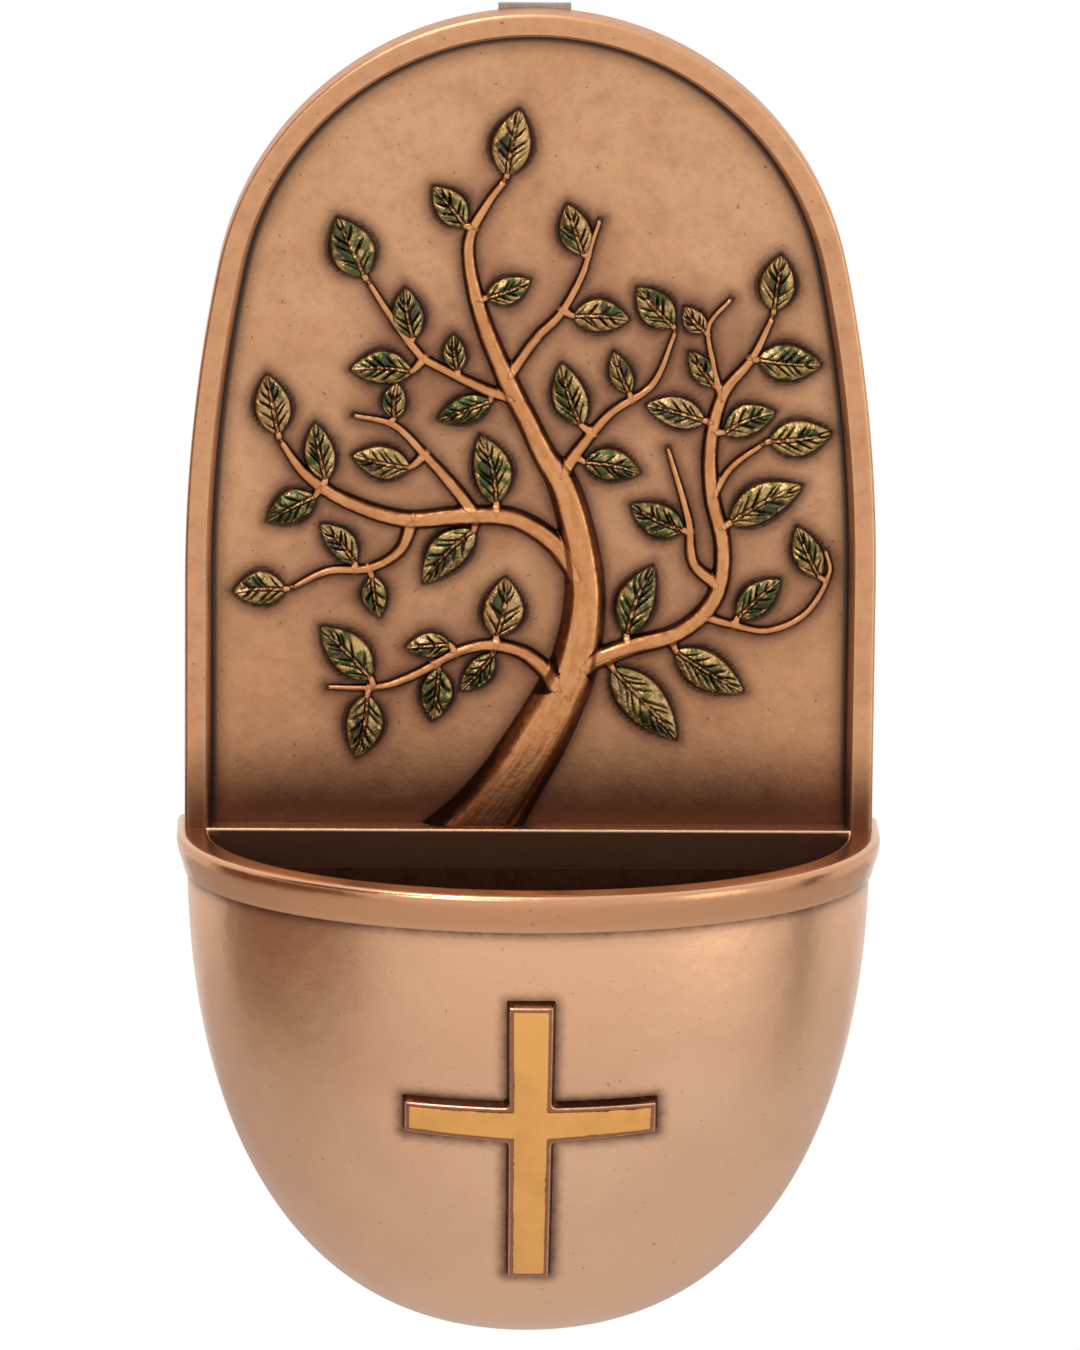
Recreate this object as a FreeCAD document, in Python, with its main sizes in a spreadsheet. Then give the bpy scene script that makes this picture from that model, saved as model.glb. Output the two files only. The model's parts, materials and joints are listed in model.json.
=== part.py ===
"""Wall-hung holy water stoup in cast bronze.

An arched back plate carries a tree in relief with separate leaves.  A half
bowl is screwed to the plate's tongue from behind, holds a liner that lifts
out, and has a gilded cross on its front.  The stoup hangs on a screw by the
keyhole of a strap behind the arch.

X runs to the right, Y towards the wall, Z up.  Each sub-part is drawn with
z = 0 on the seam between plate and bowl and y = 0 on the wall.  Its Placement
then lowers it, so that the document's origin is the keyhole's centre.
"""
import FreeCAD
import Part
import math
import os
from FreeCAD import Matrix, Placement, Rotation, Vector

SIZES = [
    # back plate
    ("plate_half_width", 44.0, "half width of the straight foot of the plate"),
    ("crown_radius", 40.6, "radius of the arch's round top"),
    ("crown_height", 65.0, "height of the round top's centre over the seam"),
    ("flank_height", 32.0, "height where the sides begin to curve inwards"),
    ("border_width", 2.9, "width of the raised border"),
    ("border_draft", 0.7, "slope of the border's inner wall"),
    ("border_bevel", 0.4, "bevel of the border's outer edge"),
    ("panel_recess", 3.3, "depth of the panel behind the border's face"),
    ("panel_thickness", 1.7, "thickness of the panel"),
    ("stand_off", 2.5, "gap between the panel and the wall"),
    ("ledge_step", 1.0, "how far the tongue stands proud of the panel"),
    ("tongue_drop", 24.0, "how far the tongue reaches down into the bowl"),
    ("tongue_clearance", 0.4, "gap between the tongue and the bowl"),
    # bowl
    ("rim_half_width", 45.0, "half width of the rim"),
    ("rim_reach", 35.0, "reach of the rim in front of the border's face"),
    ("rim_width", 4.2, "width of the rim's top"),
    ("rim_band", 5.0, "height of the band round the rim"),
    ("rim_flare", 0.9, "how far the band widens upwards"),
    ("rim_round", 0.9, "rounding of the rim's outer edge"),
    ("rim_overhang", 1.3, "how far the rim stands out over the bowl's wall"),
    ("bowl_drop", 65.3, "depth of the bowl below the seam"),
    ("bowl_fullness", 2.35, "exponent of the bowl's full oval profile"),
    ("bowl_wall", 3.2, "thickness of the bowl's wall"),
    ("seat_drop", 5.0, "depth of the liner's seat below the rim"),
    ("seat_width", 1.6, "width of the liner's seat"),
    ("seat_height", 3.0, "height of the seat's ring"),
    # liner
    ("liner_clearance", 0.5, "gap between the liner and the bowl"),
    ("liner_gap", 3.6, "gap between the liner and the bowl's back wall"),
    ("liner_flange", 1.0, "thickness of the liner's flange"),
    ("liner_wall", 0.9, "thickness of the liner's wall"),
    ("liner_lip", 3.0, "width of the liner's flange round its wall"),
    ("liner_depth", 26.0, "depth of the liner below its seat"),
    ("liner_corner", 3.0, "bevel between the liner's wall and its floor"),
    # tree and leaves
    ("tree_relief", 2.8, "greatest relief of the trunk over the panel"),
    ("twig_relief", 0.35, "relief of a bough that has no width yet"),
    ("relief_share", 0.5, "growth of the relief with a bough's width"),
    ("bough_station", 3.2, "spacing of the sections along a bough"),
    ("pin_radius", 0.8, "radius of the tree's cast pins"),
    ("pin_clearance", 0.05, "gap between a cast pin and its hole"),
    ("pin_head_radius", 1.5, "radius of a pin's peened head"),
    ("pin_head_height", 0.5, "height of a pin's peened head"),
    ("leaf_relief", 1.5, "height of a leaf's ridge over the panel"),
    ("leaf_fall", 0.9, "how far the ridge falls towards the tips"),
    ("leaf_slope", 0.36, "fall of a leaf's blade per millimetre from the ridge"),
    ("leaf_crest", 0.45, "where the ridge is highest, as a share of the leaf's length"),
    # cross
    ("cross_top_drop", 14.4, "depth of the cross's top below the seam"),
    ("cross_height", 38.0, "height of the cross"),
    ("cross_arm_drop", 15.8, "depth of the arms below the cross's top"),
    ("cross_half_span", 15.8, "half the span of the arms"),
    ("cross_top_width", 5.6, "width of the upright at its top"),
    ("cross_foot_width", 5.1, "width of the upright at its foot"),
    ("cross_arm_width", 4.1, "height of an arm at its end"),
    ("cross_arm_root", 4.7, "height of an arm at the upright"),
    ("cross_arm_lift", 0.5, "how far an arm's end lies over its root"),
    ("cross_fillet", 0.8, "fillet between the upright and the arms"),
    ("cross_relief", 1.6, "thickness of the cross on the bowl"),
    ("cross_upper_pin", 7.6, "depth of the upper pin below the cross's top"),
    ("cross_lower_pin", 28.5, "depth of the lower pin below the cross's top"),
    ("gilding_thickness", 0.2, "thickness of the gilded face"),
    ("gilding_inset", 0.6, "bronze edge left round the gilded face"),
    # fastenings
    ("screw_radius", 1.5, "shank radius of a bowl screw"),
    ("screw_head_radius", 2.8, "head radius of a bowl screw"),
    ("screw_head_height", 1.8, "head height of a bowl screw"),
    ("screw_clearance", 0.15, "gap between a screw and the tongue"),
    ("screw_spacing", 44.0, "distance between the bowl screws"),
    ("screw_drop", 14.0, "depth of the bowl screws below the seam"),
    ("screw_bite", 1.8, "depth of a bowl screw in the bowl's back wall"),
    ("screw_slot", 0.6, "width and depth of a screw's slot"),
    # hanger
    ("strap_thickness", 1.0, "thickness of the hanging strap"),
    ("strap_half_width", 4.6, "half width of the hanging strap"),
    ("strap_top", 106.1, "height of the strap's upper end over the seam"),
    ("strap_foot", 5.6, "height of each foot of the strap"),
    ("strap_bridge", 19.0, "height of the strap's bridge"),
    ("strap_joggle", 1.6, "height of the bend between foot and bridge"),
    ("keyhole_height", 91.0, "height of the keyhole over the seam"),
    ("keyhole_radius", 3.0, "radius of the keyhole's entry"),
    ("keyhole_slot", 1.6, "half width of the keyhole's slot"),
    ("keyhole_travel", 5.0, "travel from the entry to the slot's end"),
    ("tack_radius", 0.8, "shank radius of a strap screw"),
    ("tack_head_radius", 1.3, "head radius of a strap screw"),
    ("tack_head_height", 0.8, "head height of a strap screw"),
    ("tack_bite", 1.2, "depth of a strap screw in the plate"),
    ("tack_spacing", 5.2, "distance between the strap screws of one foot"),
    ("upper_tack_inset", 1.9, "upper strap screws below the strap's end"),
    ("lower_tack_inset", 2.8, "lower strap screws above the strap's end"),
]

# Centre lines of the trunk and boughs on the panel: x, z and width there.
BOUGHS = {
    "trunk": [(-9.0, -4.0, 12.0), (-5.6, 0.6, 9.3), (-2.4, 5.4, 7.8), (0.7, 10.5, 7.2), (3.7, 16.3, 6.3),
              (5.8, 21.5, 5.5), (7.0, 29.7, 4.6), (6.1, 37.5, 4.0), (3.9, 44.9, 3.4), (1.7, 48.3, 2.6),
              (-0.4, 52.6, 2.3), (-2.9, 57.5, 2.2), (-6.2, 65.4, 1.8), (-7.9, 72.0, 1.4), (-8.0, 76.5, 1.2),
              (-5.5, 81.3, 0.9), (-3.6, 83.8, 0.8)],
    "crown_bough": [(-2.9, 58.6, 1.2), (0.7, 63.7, 1.1), (3.4, 66.5, 1.0), (6.2, 71.6, 0.8), (7.4, 75.6, 0.6),
                    (8.5, 78.9, 0.5)],
    "upper_left_bough": [(-2.2, 55.6, 1.2), (-6.1, 56.9, 1.2), (-11.6, 59.6, 1.0), (-14.1, 61.1, 1.0),
                         (-18.0, 66.3, 0.8), (-20.8, 70.6, 0.6)],
    "left_bough": [(6.2, 32.6, 2.2), (2.8, 37.1, 2.2), (-2.3, 40.1, 2.1), (-8.5, 40.4, 2.0),
                   (-16.1, 39.9, 1.8), (-23.6, 42.3, 1.5), (-28.6, 45.6, 1.2), (-31.9, 50.0, 0.7)],
    "left_fork": [(-7.0, 40.4, 1.4), (-9.8, 44.1, 1.3), (-14.0, 48.8, 1.0), (-17.6, 52.2, 0.8),
                  (-22.8, 53.4, 0.5)],
    "left_hanging_fork": [(-15.0, 40.0, 1.5), (-16.7, 35.8, 1.2), (-20.5, 33.5, 1.0), (-25.8, 33.1, 0.9),
                          (-30.4, 30.9, 0.6)],
    "lowest_bough": [(5.0, 17.0, 1.8), (2.0, 20.3, 1.8), (-0.8, 22.5, 1.5), (-5.0, 23.5, 1.3),
                     (-9.1, 22.6, 1.1), (-14.6, 19.6, 1.0), (-19.0, 18.0, 0.8), (-26.0, 17.9, 0.5)],
    "middle_right_bough": [(3.6, 45.4, 1.5), (6.3, 49.4, 1.3), (10.1, 53.9, 1.0), (15.3, 57.6, 0.8),
                           (18.2, 64.5, 0.5)],
    "right_bough": [(6.6, 21.0, 2.2), (12.6, 23.3, 2.1), (19.2, 25.4, 1.9), (23.6, 29.9, 1.8),
                    (24.5, 36.4, 1.7), (23.0, 43.4, 1.6), (22.8, 50.1, 1.5), (24.4, 56.5, 1.3),
                    (27.9, 61.0, 1.0), (30.5, 66.4, 0.6)],
    "right_inner_fork": [(23.9, 31.5, 1.5), (20.8, 34.4, 1.2), (20.1, 39.9, 0.9), (17.3, 49.5, 0.5)],
    "right_upper_fork": [(24.1, 55.6, 0.9), (22.9, 60.7, 0.7), (22.4, 65.2, 0.6), (25.3, 68.8, 0.5)],
    "right_hanging_fork": [(21.5, 27.6, 1.1), (25.6, 26.4, 0.9), (30.5, 25.6, 0.8), (35.3, 28.0, 0.7),
                           (38.2, 33.3, 0.6), (37.6, 36.2, 0.5)],
    "right_side_twig": [(23.1, 42.9, 0.9), (25.4, 46.8, 0.8), (29.4, 49.9, 0.6)],
}

# Leaves on the panel: x and z of the tip, x and z of the stalk end, width.
LEAVES = [
    (-1.8, 93.0, -3.4, 84.4, 5.8), (-12.8, 83.0, -8.6, 77.9, 4.6), (-0.2, 71.1, -5.9, 68.7, 3.9),
    (4.3, 80.9, 6.4, 74.2, 4.7), (12.4, 66.0, 5.1, 66.4, 5.0), (-24.9, 79.0, -21.3, 71.3, 6.4),
    (-16.2, 70.0, -15.1, 63.3, 4.7), (-23.2, 59.3, -15.2, 59.1, 5.0), (-10.0, 64.0, -9.4, 59.2, 3.4),
    (-12.1, 52.9, -5.2, 55.4, 4.1), (-17.1, 57.8, -17.5, 53.0, 3.6), (-22.9, 48.2, -15.4, 46.6, 5.0),
    (-33.7, 58.7, -32.2, 50.9, 5.3), (-27.5, 52.5, -26.1, 44.9, 4.5), (-6.6, 51.1, -4.4, 42.0, 5.7),
    (-33.7, 39.5, -27.4, 42.9, 4.8), (-13.7, 31.5, -7.2, 38.6, 5.6), (-26.8, 39.3, -22.3, 34.1, 4.1),
    (-38.0, 30.3, -31.2, 30.7, 5.0), (-19.2, 27.0, -20.2, 32.5, 3.7), (-3.1, 32.5, -4.3, 24.5, 6.1),
    (-15.9, 23.2, -10.1, 23.6, 3.7), (-26.8, 25.9, -20.2, 19.0, 5.7), (-22.2, 8.6, -20.7, 16.9, 5.5),
    (-12.5, 13.4, -11.6, 20.4, 4.8), (-8.9, 17.5, -4.6, 22.4, 3.8), (3.7, 60.4, 6.3, 52.2, 5.1),
    (10.3, 61.9, 12.4, 56.4, 3.4), (13.2, 70.2, 17.9, 65.1, 5.1), (14.0, 46.1, 6.6, 47.5, 4.8),
    (19.2, 67.7, 22.0, 64.4, 3.4), (19.9, 62.0, 23.2, 57.4, 3.4), (31.5, 74.5, 30.6, 67.2, 5.3),
    (36.9, 60.3, 28.6, 60.9, 5.5), (14.4, 55.0, 22.0, 52.9, 4.6), (31.1, 54.2, 24.4, 51.4, 4.6),
    (38.3, 51.5, 30.2, 50.3, 5.3), (12.6, 42.0, 19.5, 38.6, 5.0), (34.7, 44.6, 25.3, 39.6, 5.6),
    (33.9, 39.3, 36.9, 32.6, 4.4), (32.0, 32.4, 26.4, 27.2, 4.6), (15.7, 34.1, 12.3, 24.8, 5.6),
    (27.5, 17.5, 18.6, 22.9, 5.6), (19.0, 11.2, 10.5, 20.6, 6.4),
]

# Flats round a bough's domed front.
DOME_STEPS = 6

# Flats round the core of the bowl's hollow, and bands down it.
CORE_FLATS = 24
CORE_BANDS = 10

# Lengths that differ by less than this are the same.
ROUNDING = 1e-6

# Where the tree's cast pins go through the panel.
TREE_PINS = [(0.0, 9.0), (6.9, 31.0), (-11.0, 40.3), (22.9, 46.5)]

doc = FreeCAD.newDocument("HolyWaterStoup")
sheet = doc.addObject("Spreadsheet::Sheet", "Sizes")
for row, (alias, value, meaning) in enumerate(SIZES, start=1):
    sheet.set(f"A{row}", alias)
    sheet.set(f"B{row}", str(value))
    sheet.set(f"C{row}", meaning)
    sheet.setAlias(f"B{row}", alias)
doc.recompute()

UP = Vector(0, 0, 1)
TO_ROOM = Vector(0, -1, 0)
sub_parts = []


def size(alias):
    """A driving dimension, in millimetres, as the sheet holds it."""
    return float(sheet.get(alias))


def near(first, second):
    """Whether two lengths are the same, apart from rounding."""
    return abs(first - second) < ROUNDING


def bind(feature, **bindings):
    """Bind a feature's properties to expressions over the sheet."""
    for prop, expression in bindings.items():
        feature.setExpression(prop.replace("_dot_", "."), expression)
    return feature


def shaped(name, shape):
    """A plain feature that holds a shape worked out from the sheet."""
    feature = doc.addObject("Part::Feature", name)
    feature.Shape = shape
    return feature


def extruded(name, face, length, direction=TO_ROOM):
    """A flat profile pulled along a direction by a length from the sheet."""
    feature = doc.addObject("Part::Extrusion", name)
    feature.Base = shaped(name + "Profile", face)
    feature.DirMode = "Custom"
    feature.Dir = direction
    feature.Solid = True
    return bind(feature, LengthFwd=length)


def fused(name, features):
    """Several features joined into one solid."""
    feature = doc.addObject("Part::MultiFuse", name)
    feature.Shapes = features
    feature.Refine = True
    return feature


def cut(name, base, tool):
    """A feature with a tool taken away from it."""
    feature = doc.addObject("Part::Cut", name)
    feature.Base = base
    feature.Tool = tool
    return feature


def rod(name, radius, length, x, z, y="0 mm"):
    """A round rod that points into the room from y, its sizes bound to the sheet."""
    feature = doc.addObject("Part::Cylinder", name)
    feature.Placement = Placement(Vector(0, 0, 0), Rotation(Vector(1, 0, 0), 90))
    return bind(feature, Radius=radius, Height=length, Placement_dot_Base_dot_x=x,
                Placement_dot_Base_dot_y=y, Placement_dot_Base_dot_z=z)


def finish(feature, label):
    """Label a sub-part and lower it so that the keyhole is the origin."""
    feature.Label = label
    feature.Placement = Placement(Vector(0, 0, -size("keyhole_height")), Rotation())
    bind(feature, Placement_dot_Base_dot_z="-Sizes.keyhole_height")
    sub_parts.append(feature)
    return feature


def closed_face(edges):
    """A flat face inside a closed run of edges."""
    return Part.Face(Part.Wire(Part.__sortEdges__(edges)))


PANEL_BACK = -size("stand_off")
BORDER_PLANE = "(-Sizes.stand_off - Sizes.panel_thickness - Sizes.panel_recess)"
PANEL_FACE = PANEL_BACK - size("panel_thickness")
BORDER_FACE = PANEL_FACE - size("panel_recess")
TONGUE_FACE = PANEL_FACE - size("ledge_step")


# ---------------------------------------------------------------- back plate
def arch_edges(inset, y):
    """Outline of the arch, moved inwards by an inset.

    The round top, the long flanks and the upright foot meet tangentially.
    """
    half, crown = size("plate_half_width"), size("crown_radius")
    crown_z, flank_z = size("crown_height"), size("flank_height")
    rise = crown_z - flank_z
    flank = (half ** 2 + rise ** 2 - crown ** 2) / (2 * (half - crown))
    centre = Vector(half - flank, y, flank_z)
    joint = (Vector(0, y, crown_z) - centre).normalize()
    foot = Vector(half - inset, y, 0)
    start = Vector(half - inset, y, flank_z)
    turn = centre + joint * (flank - inset)
    middle = centre + (joint + Vector(1, 0, 0)).normalize() * (flank - inset)
    top = Vector(0, y, crown_z + crown - inset)

    def mirrored(point):
        return Vector(-point.x, point.y, point.z)

    return [
        Part.LineSegment(foot, start).toShape(),
        Part.Arc(start, middle, turn).toShape(),
        Part.Arc(turn, top, mirrored(turn)).toShape(),
        Part.Arc(mirrored(turn), mirrored(middle), mirrored(start)).toShape(),
        Part.LineSegment(mirrored(start), mirrored(foot)).toShape(),
    ]


def arch_wire(inset, y):
    """The arch's outline closed along the seam."""
    edges = arch_edges(inset, y)
    foot = edges[0].Vertexes[0].Point
    edges.append(Part.LineSegment(Vector(-foot.x, y, 0), foot).toShape())
    return Part.Wire(edges)


def bowl_profile(half_width, depth):
    """Right half of the bowl's full oval profile, from the rim to the bottom."""
    power = 2 / size("bowl_fullness")
    steps = 8
    points = []
    for step in range(steps + 1):
        turn = math.pi / 2 * step / steps
        across = max(math.cos(turn), 0.0) ** power
        down = math.sin(turn) ** power
        points.append(Vector(half_width * across, 0, -depth * down))
    points[0] = Vector(half_width, 0, 0)
    points[-1] = Vector(0, 0, -depth)
    curve = Part.BSplineCurve()
    curve.interpolate(Points=points, InitialTangent=Vector(0, 0, -1), FinalTangent=Vector(-1, 0, 0))
    return curve.toShape()


def bowl_flat(half_width, depth, y_back, y_front):
    """The straight part of the bowl's form, between two planes along Y."""
    right = bowl_profile(half_width, depth)
    left = right.mirror(Vector(0, 0, 0), Vector(1, 0, 0))
    top = Part.LineSegment(Vector(-half_width, 0, 0), Vector(half_width, 0, 0)).toShape()
    face = closed_face([right, left, top])
    face.translate(Vector(0, y_back, 0))
    return face.extrude(Vector(0, y_front - y_back, 0))


def bowl_round(half_width, reach, depth):
    """The round front of the bowl's form: a half turn, flattened along Y."""
    right = bowl_profile(half_width, depth)
    top = Part.LineSegment(Vector(0, 0, 0), Vector(half_width, 0, 0)).toShape()
    axis = Part.LineSegment(Vector(0, 0, -depth), Vector(0, 0, 0)).toShape()
    turned = closed_face([right, top, axis]).revolve(Vector(0, 0, 0), UP, -180)
    flatten = Matrix()
    flatten.scale(1, reach / half_width, 1)
    flattened = turned.transformGeometry(flatten)
    flattened.translate(Vector(0, BORDER_FACE, 0))
    return flattened


def bowl_form(half_width, reach, depth):
    """The whole outer form of a bowl against the wall."""
    back = bowl_flat(half_width, depth, 0, BORDER_FACE)
    return back.fuse(bowl_round(half_width, reach, depth)).removeSplitter()


def bowl_core(half_width, reach, depth):
    """The core that leaves the bowl's hollow: the bowl's own form drawn in flats."""
    rings = bowl_profile(half_width, depth).discretize(CORE_BANDS + 1)[:-1]
    sections = []
    for ring in rings:
        corners = []
        for step in range(CORE_FLATS + 1):
            turn = math.pi * step / CORE_FLATS
            corners.append(Vector(ring.x * math.cos(turn),
                                  BORDER_FACE - ring.x * math.sin(turn) * reach / half_width, ring.z))
        sections.append(Part.makePolygon(corners + corners[:1]))
    return Part.makeLoft(sections, True, True)


def oval_wire(half_width, reach, y_back, z):
    """A plan outline: half an ellipse in front of straight sides."""
    centre = Vector(0, BORDER_FACE, z)
    if half_width >= reach:
        ellipse = Part.Ellipse(centre + Vector(half_width, 0, 0), centre + Vector(0, reach, 0), centre)
    else:
        ellipse = Part.Ellipse(centre + Vector(0, reach, 0), centre + Vector(half_width, 0, 0), centre)
    right, left = centre + Vector(half_width, 0, 0), centre - Vector(half_width, 0, 0)
    front = centre - Vector(0, reach, 0)
    first, last = sorted((ellipse.parameter(left), ellipse.parameter(right)))
    if not first < ellipse.parameter(front) < last:
        first, last = last, first + 2 * math.pi
    curve = Part.ArcOfEllipse(ellipse, first, last).toShape()
    back_right = Vector(half_width, y_back, z)
    back_left = Vector(-half_width, y_back, z)
    edges = [curve]
    if y_back > BORDER_FACE:
        edges.append(Part.LineSegment(right, back_right).toShape())
        edges.append(Part.LineSegment(left, back_left).toShape())
    edges.append(Part.LineSegment(back_right, back_left).toShape())
    return Part.Wire(Part.__sortEdges__(edges))


def make_back_plate():
    """Panel, raised border and the tongue that the bowl is screwed to."""
    body = Part.Face(arch_wire(0, PANEL_BACK)).extrude(Vector(0, BORDER_FACE - PANEL_BACK, 0))
    outer_edges = [edge for edge in body.Edges
                   if near(edge.CenterOfMass.y, BORDER_FACE) and not near(edge.CenterOfMass.z, 0)]
    body = body.makeChamfer(size("border_bevel"), outer_edges)
    border = size("border_width")
    deep = arch_wire(border + size("border_draft"), PANEL_FACE)
    open_face = arch_wire(border, BORDER_FACE)
    recess = Part.makeLoft([deep, open_face], True, True)
    raised = cut("BorderAndPanel", shaped("PlateBlank", body), shaped("PanelRecess", recess))
    inner = size("rim_half_width") - size("rim_overhang") - size("bowl_wall") - size("tongue_clearance")
    tongue_form = bowl_flat(inner, size("bowl_drop") - size("bowl_wall"), PANEL_BACK, TONGUE_FACE)
    band = doc.addObject("Part::Box", "TongueBand")
    bind(band, Length="2 * Sizes.rim_half_width", Width="Sizes.panel_thickness + Sizes.ledge_step",
         Height="Sizes.tongue_drop", Placement_dot_Base_dot_x="-Sizes.rim_half_width",
         Placement_dot_Base_dot_y="-Sizes.stand_off - Sizes.panel_thickness - Sizes.ledge_step",
         Placement_dot_Base_dot_z="-Sizes.tongue_drop")
    tongue = doc.addObject("Part::Common", "Tongue")
    tongue.Base = shaped("TongueForm", tongue_form)
    tongue.Tool = band
    plate = fused("PlateWithTongue", [raised, tongue])
    holes = []
    for side in (-1, 1):
        holes.append(rod(f"TongueHole{side + 1}", "Sizes.screw_radius + Sizes.screw_clearance",
                         "2 * (Sizes.stand_off + Sizes.panel_thickness + Sizes.ledge_step)",
                         f"{side} * Sizes.screw_spacing / 2", "-Sizes.screw_drop"))
        for name, height in TACK_HEIGHTS.items():
            holes.append(rod(f"TackHole{name}{side + 1}", "Sizes.tack_radius",
                             "Sizes.stand_off + Sizes.tack_bite", f"{side} * Sizes.tack_spacing / 2", height))
    for number, (x, z) in enumerate(TREE_PINS):
        holes.append(rod(f"PinHole{number}", "Sizes.pin_radius + Sizes.pin_clearance",
                         "2 * (Sizes.stand_off + Sizes.panel_thickness)", str(x), str(z)))
    drilled = cut("DrilledPlate", plate, fused("PlateHoles", holes))
    finish(drilled, "back_plate")


# ---------------------------------------------------------------- tree
def bough_relief(width):
    """Height of a bough over the panel for its width."""
    return min(size("twig_relief") + size("relief_share") * width, size("tree_relief"))


def bough_solid(route):
    """The front half of a bough: ellipses of changing size along its curve."""
    line = Part.BSplineCurve()
    line.interpolate(Points=[Vector(x, PANEL_FACE, z) for x, z, width in route])
    curve = line.toShape()
    marks = [line.length(line.FirstParameter, line.parameter(Vector(x, PANEL_FACE, z)))
             for x, z, width in route]
    stations = max(4, round(curve.Length / size("bough_station")))
    sections = []
    for station in range(stations + 1):
        run = curve.Length * station / stations
        nearest = max(index for index in range(len(marks) - 1) if marks[index] <= run + ROUNDING)
        share = (run - marks[nearest]) / (marks[nearest + 1] - marks[nearest])
        width = route[nearest][2] + (route[nearest + 1][2] - route[nearest][2]) * min(share, 1.0)
        spot = line.parameterAtDistance(run, line.FirstParameter)
        along = Vector(*line.tangent(spot)[0])
        across = Vector(along.z, 0, -along.x)
        centre = line.value(spot)
        half, relief = width / 2, bough_relief(width)
        dome = []
        for step in range(DOME_STEPS + 1):
            turn = math.pi * step / DOME_STEPS
            dome.append(centre + across * (half * math.cos(turn)) + TO_ROOM * (relief * math.sin(turn)))
        sections.append(Part.makePolygon(dome + dome[:1]))
    loft = Part.makeLoft(sections, True, True)
    reach = 2 * size("plate_half_width")
    front = Part.makeBox(2 * reach, size("panel_recess"), 2 * reach, Vector(-reach, BORDER_FACE, 0))
    return loft.common(front)


def make_tree():
    """Trunk and boughs as one casting, its pins peened behind the panel."""
    boughs = [bough_solid(route) for route in BOUGHS.values()]
    tree = boughs[0].multiFuse(boughs[1:]).removeSplitter()
    relief = shaped("TreeRelief", tree)
    pieces = [relief]
    for number, (x, z) in enumerate(TREE_PINS):
        pieces.append(rod(f"TreePin{number}", "Sizes.pin_radius",
                          "Sizes.panel_thickness + Sizes.pin_clearance", str(x), str(z), "-Sizes.stand_off"))
        pieces.append(rod(f"TreePinHead{number}", "Sizes.pin_head_radius", "Sizes.pin_head_height",
                          str(x), str(z), "Sizes.pin_head_height - Sizes.stand_off"))
    finish(fused("Tree", pieces), "tree")
    return tree


def leaf_side(base, tip, across):
    """One side of a leaf: a short arc out to the widest place, a long one to the tip."""
    widest = base + (tip - base) * size("leaf_crest") + across
    outwards = Vector(across).normalize()
    arcs = []
    for end in (base, tip):
        chord = end - widest
        centre = widest - outwards * (chord.Length ** 2 / (-2 * chord.dot(outwards)))
        radius = (widest - centre).Length
        middle = centre + ((end - centre).normalize() + outwards).normalize() * radius
        arcs.append(Part.Arc(widest, middle, end).toShape())
    return arcs


def leaf_solid(tip_x, tip_z, base_x, base_z, width):
    """A leaf: a pointed oval, widest near its stalk, under sloping blades that meet in a ridge."""
    tip, base = Vector(tip_x, PANEL_FACE, tip_z), Vector(base_x, PANEL_FACE, base_z)
    along = tip - base
    across = Vector(along.z, 0, -along.x).normalize() * width
    outline = closed_face(leaf_side(base, tip, across * 0.5) + leaf_side(base, tip, across * -0.5))
    relief, fall = size("leaf_relief"), size("leaf_fall")
    eaves, foot = TO_ROOM * (size("leaf_slope") * width), TO_ROOM * (2 * relief)
    sections = []
    for share, height in ((0, relief - fall), (size("leaf_crest"), relief), (1, relief - fall)):
        ridge = base + along * share + TO_ROOM * height
        sections.append(Part.makePolygon([ridge, ridge + across - eaves, ridge + across - foot,
                                          ridge - across - foot, ridge - across - eaves, ridge]))
    return outline.extrude(TO_ROOM * relief).common(Part.makeLoft(sections, True, True))


def make_leaves(tree):
    """All leaves, each cut where a bough or an earlier leaf lies over it."""
    leaves = []
    for leaf in LEAVES:
        solid = leaf_solid(*leaf).cut(tree)
        for other in leaves:
            if solid.BoundBox.intersect(other.BoundBox):
                solid = solid.cut(other)
        leaves.append(max(solid.Solids, key=lambda piece: piece.Volume))
    finish(shaped("Leaves", Part.makeCompound(leaves)), "leaves")


# ---------------------------------------------------------------- bowl
BODY_HALF_WIDTH = size("rim_half_width") - size("rim_overhang")
BODY_REACH = size("rim_reach") - size("rim_overhang")


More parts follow.
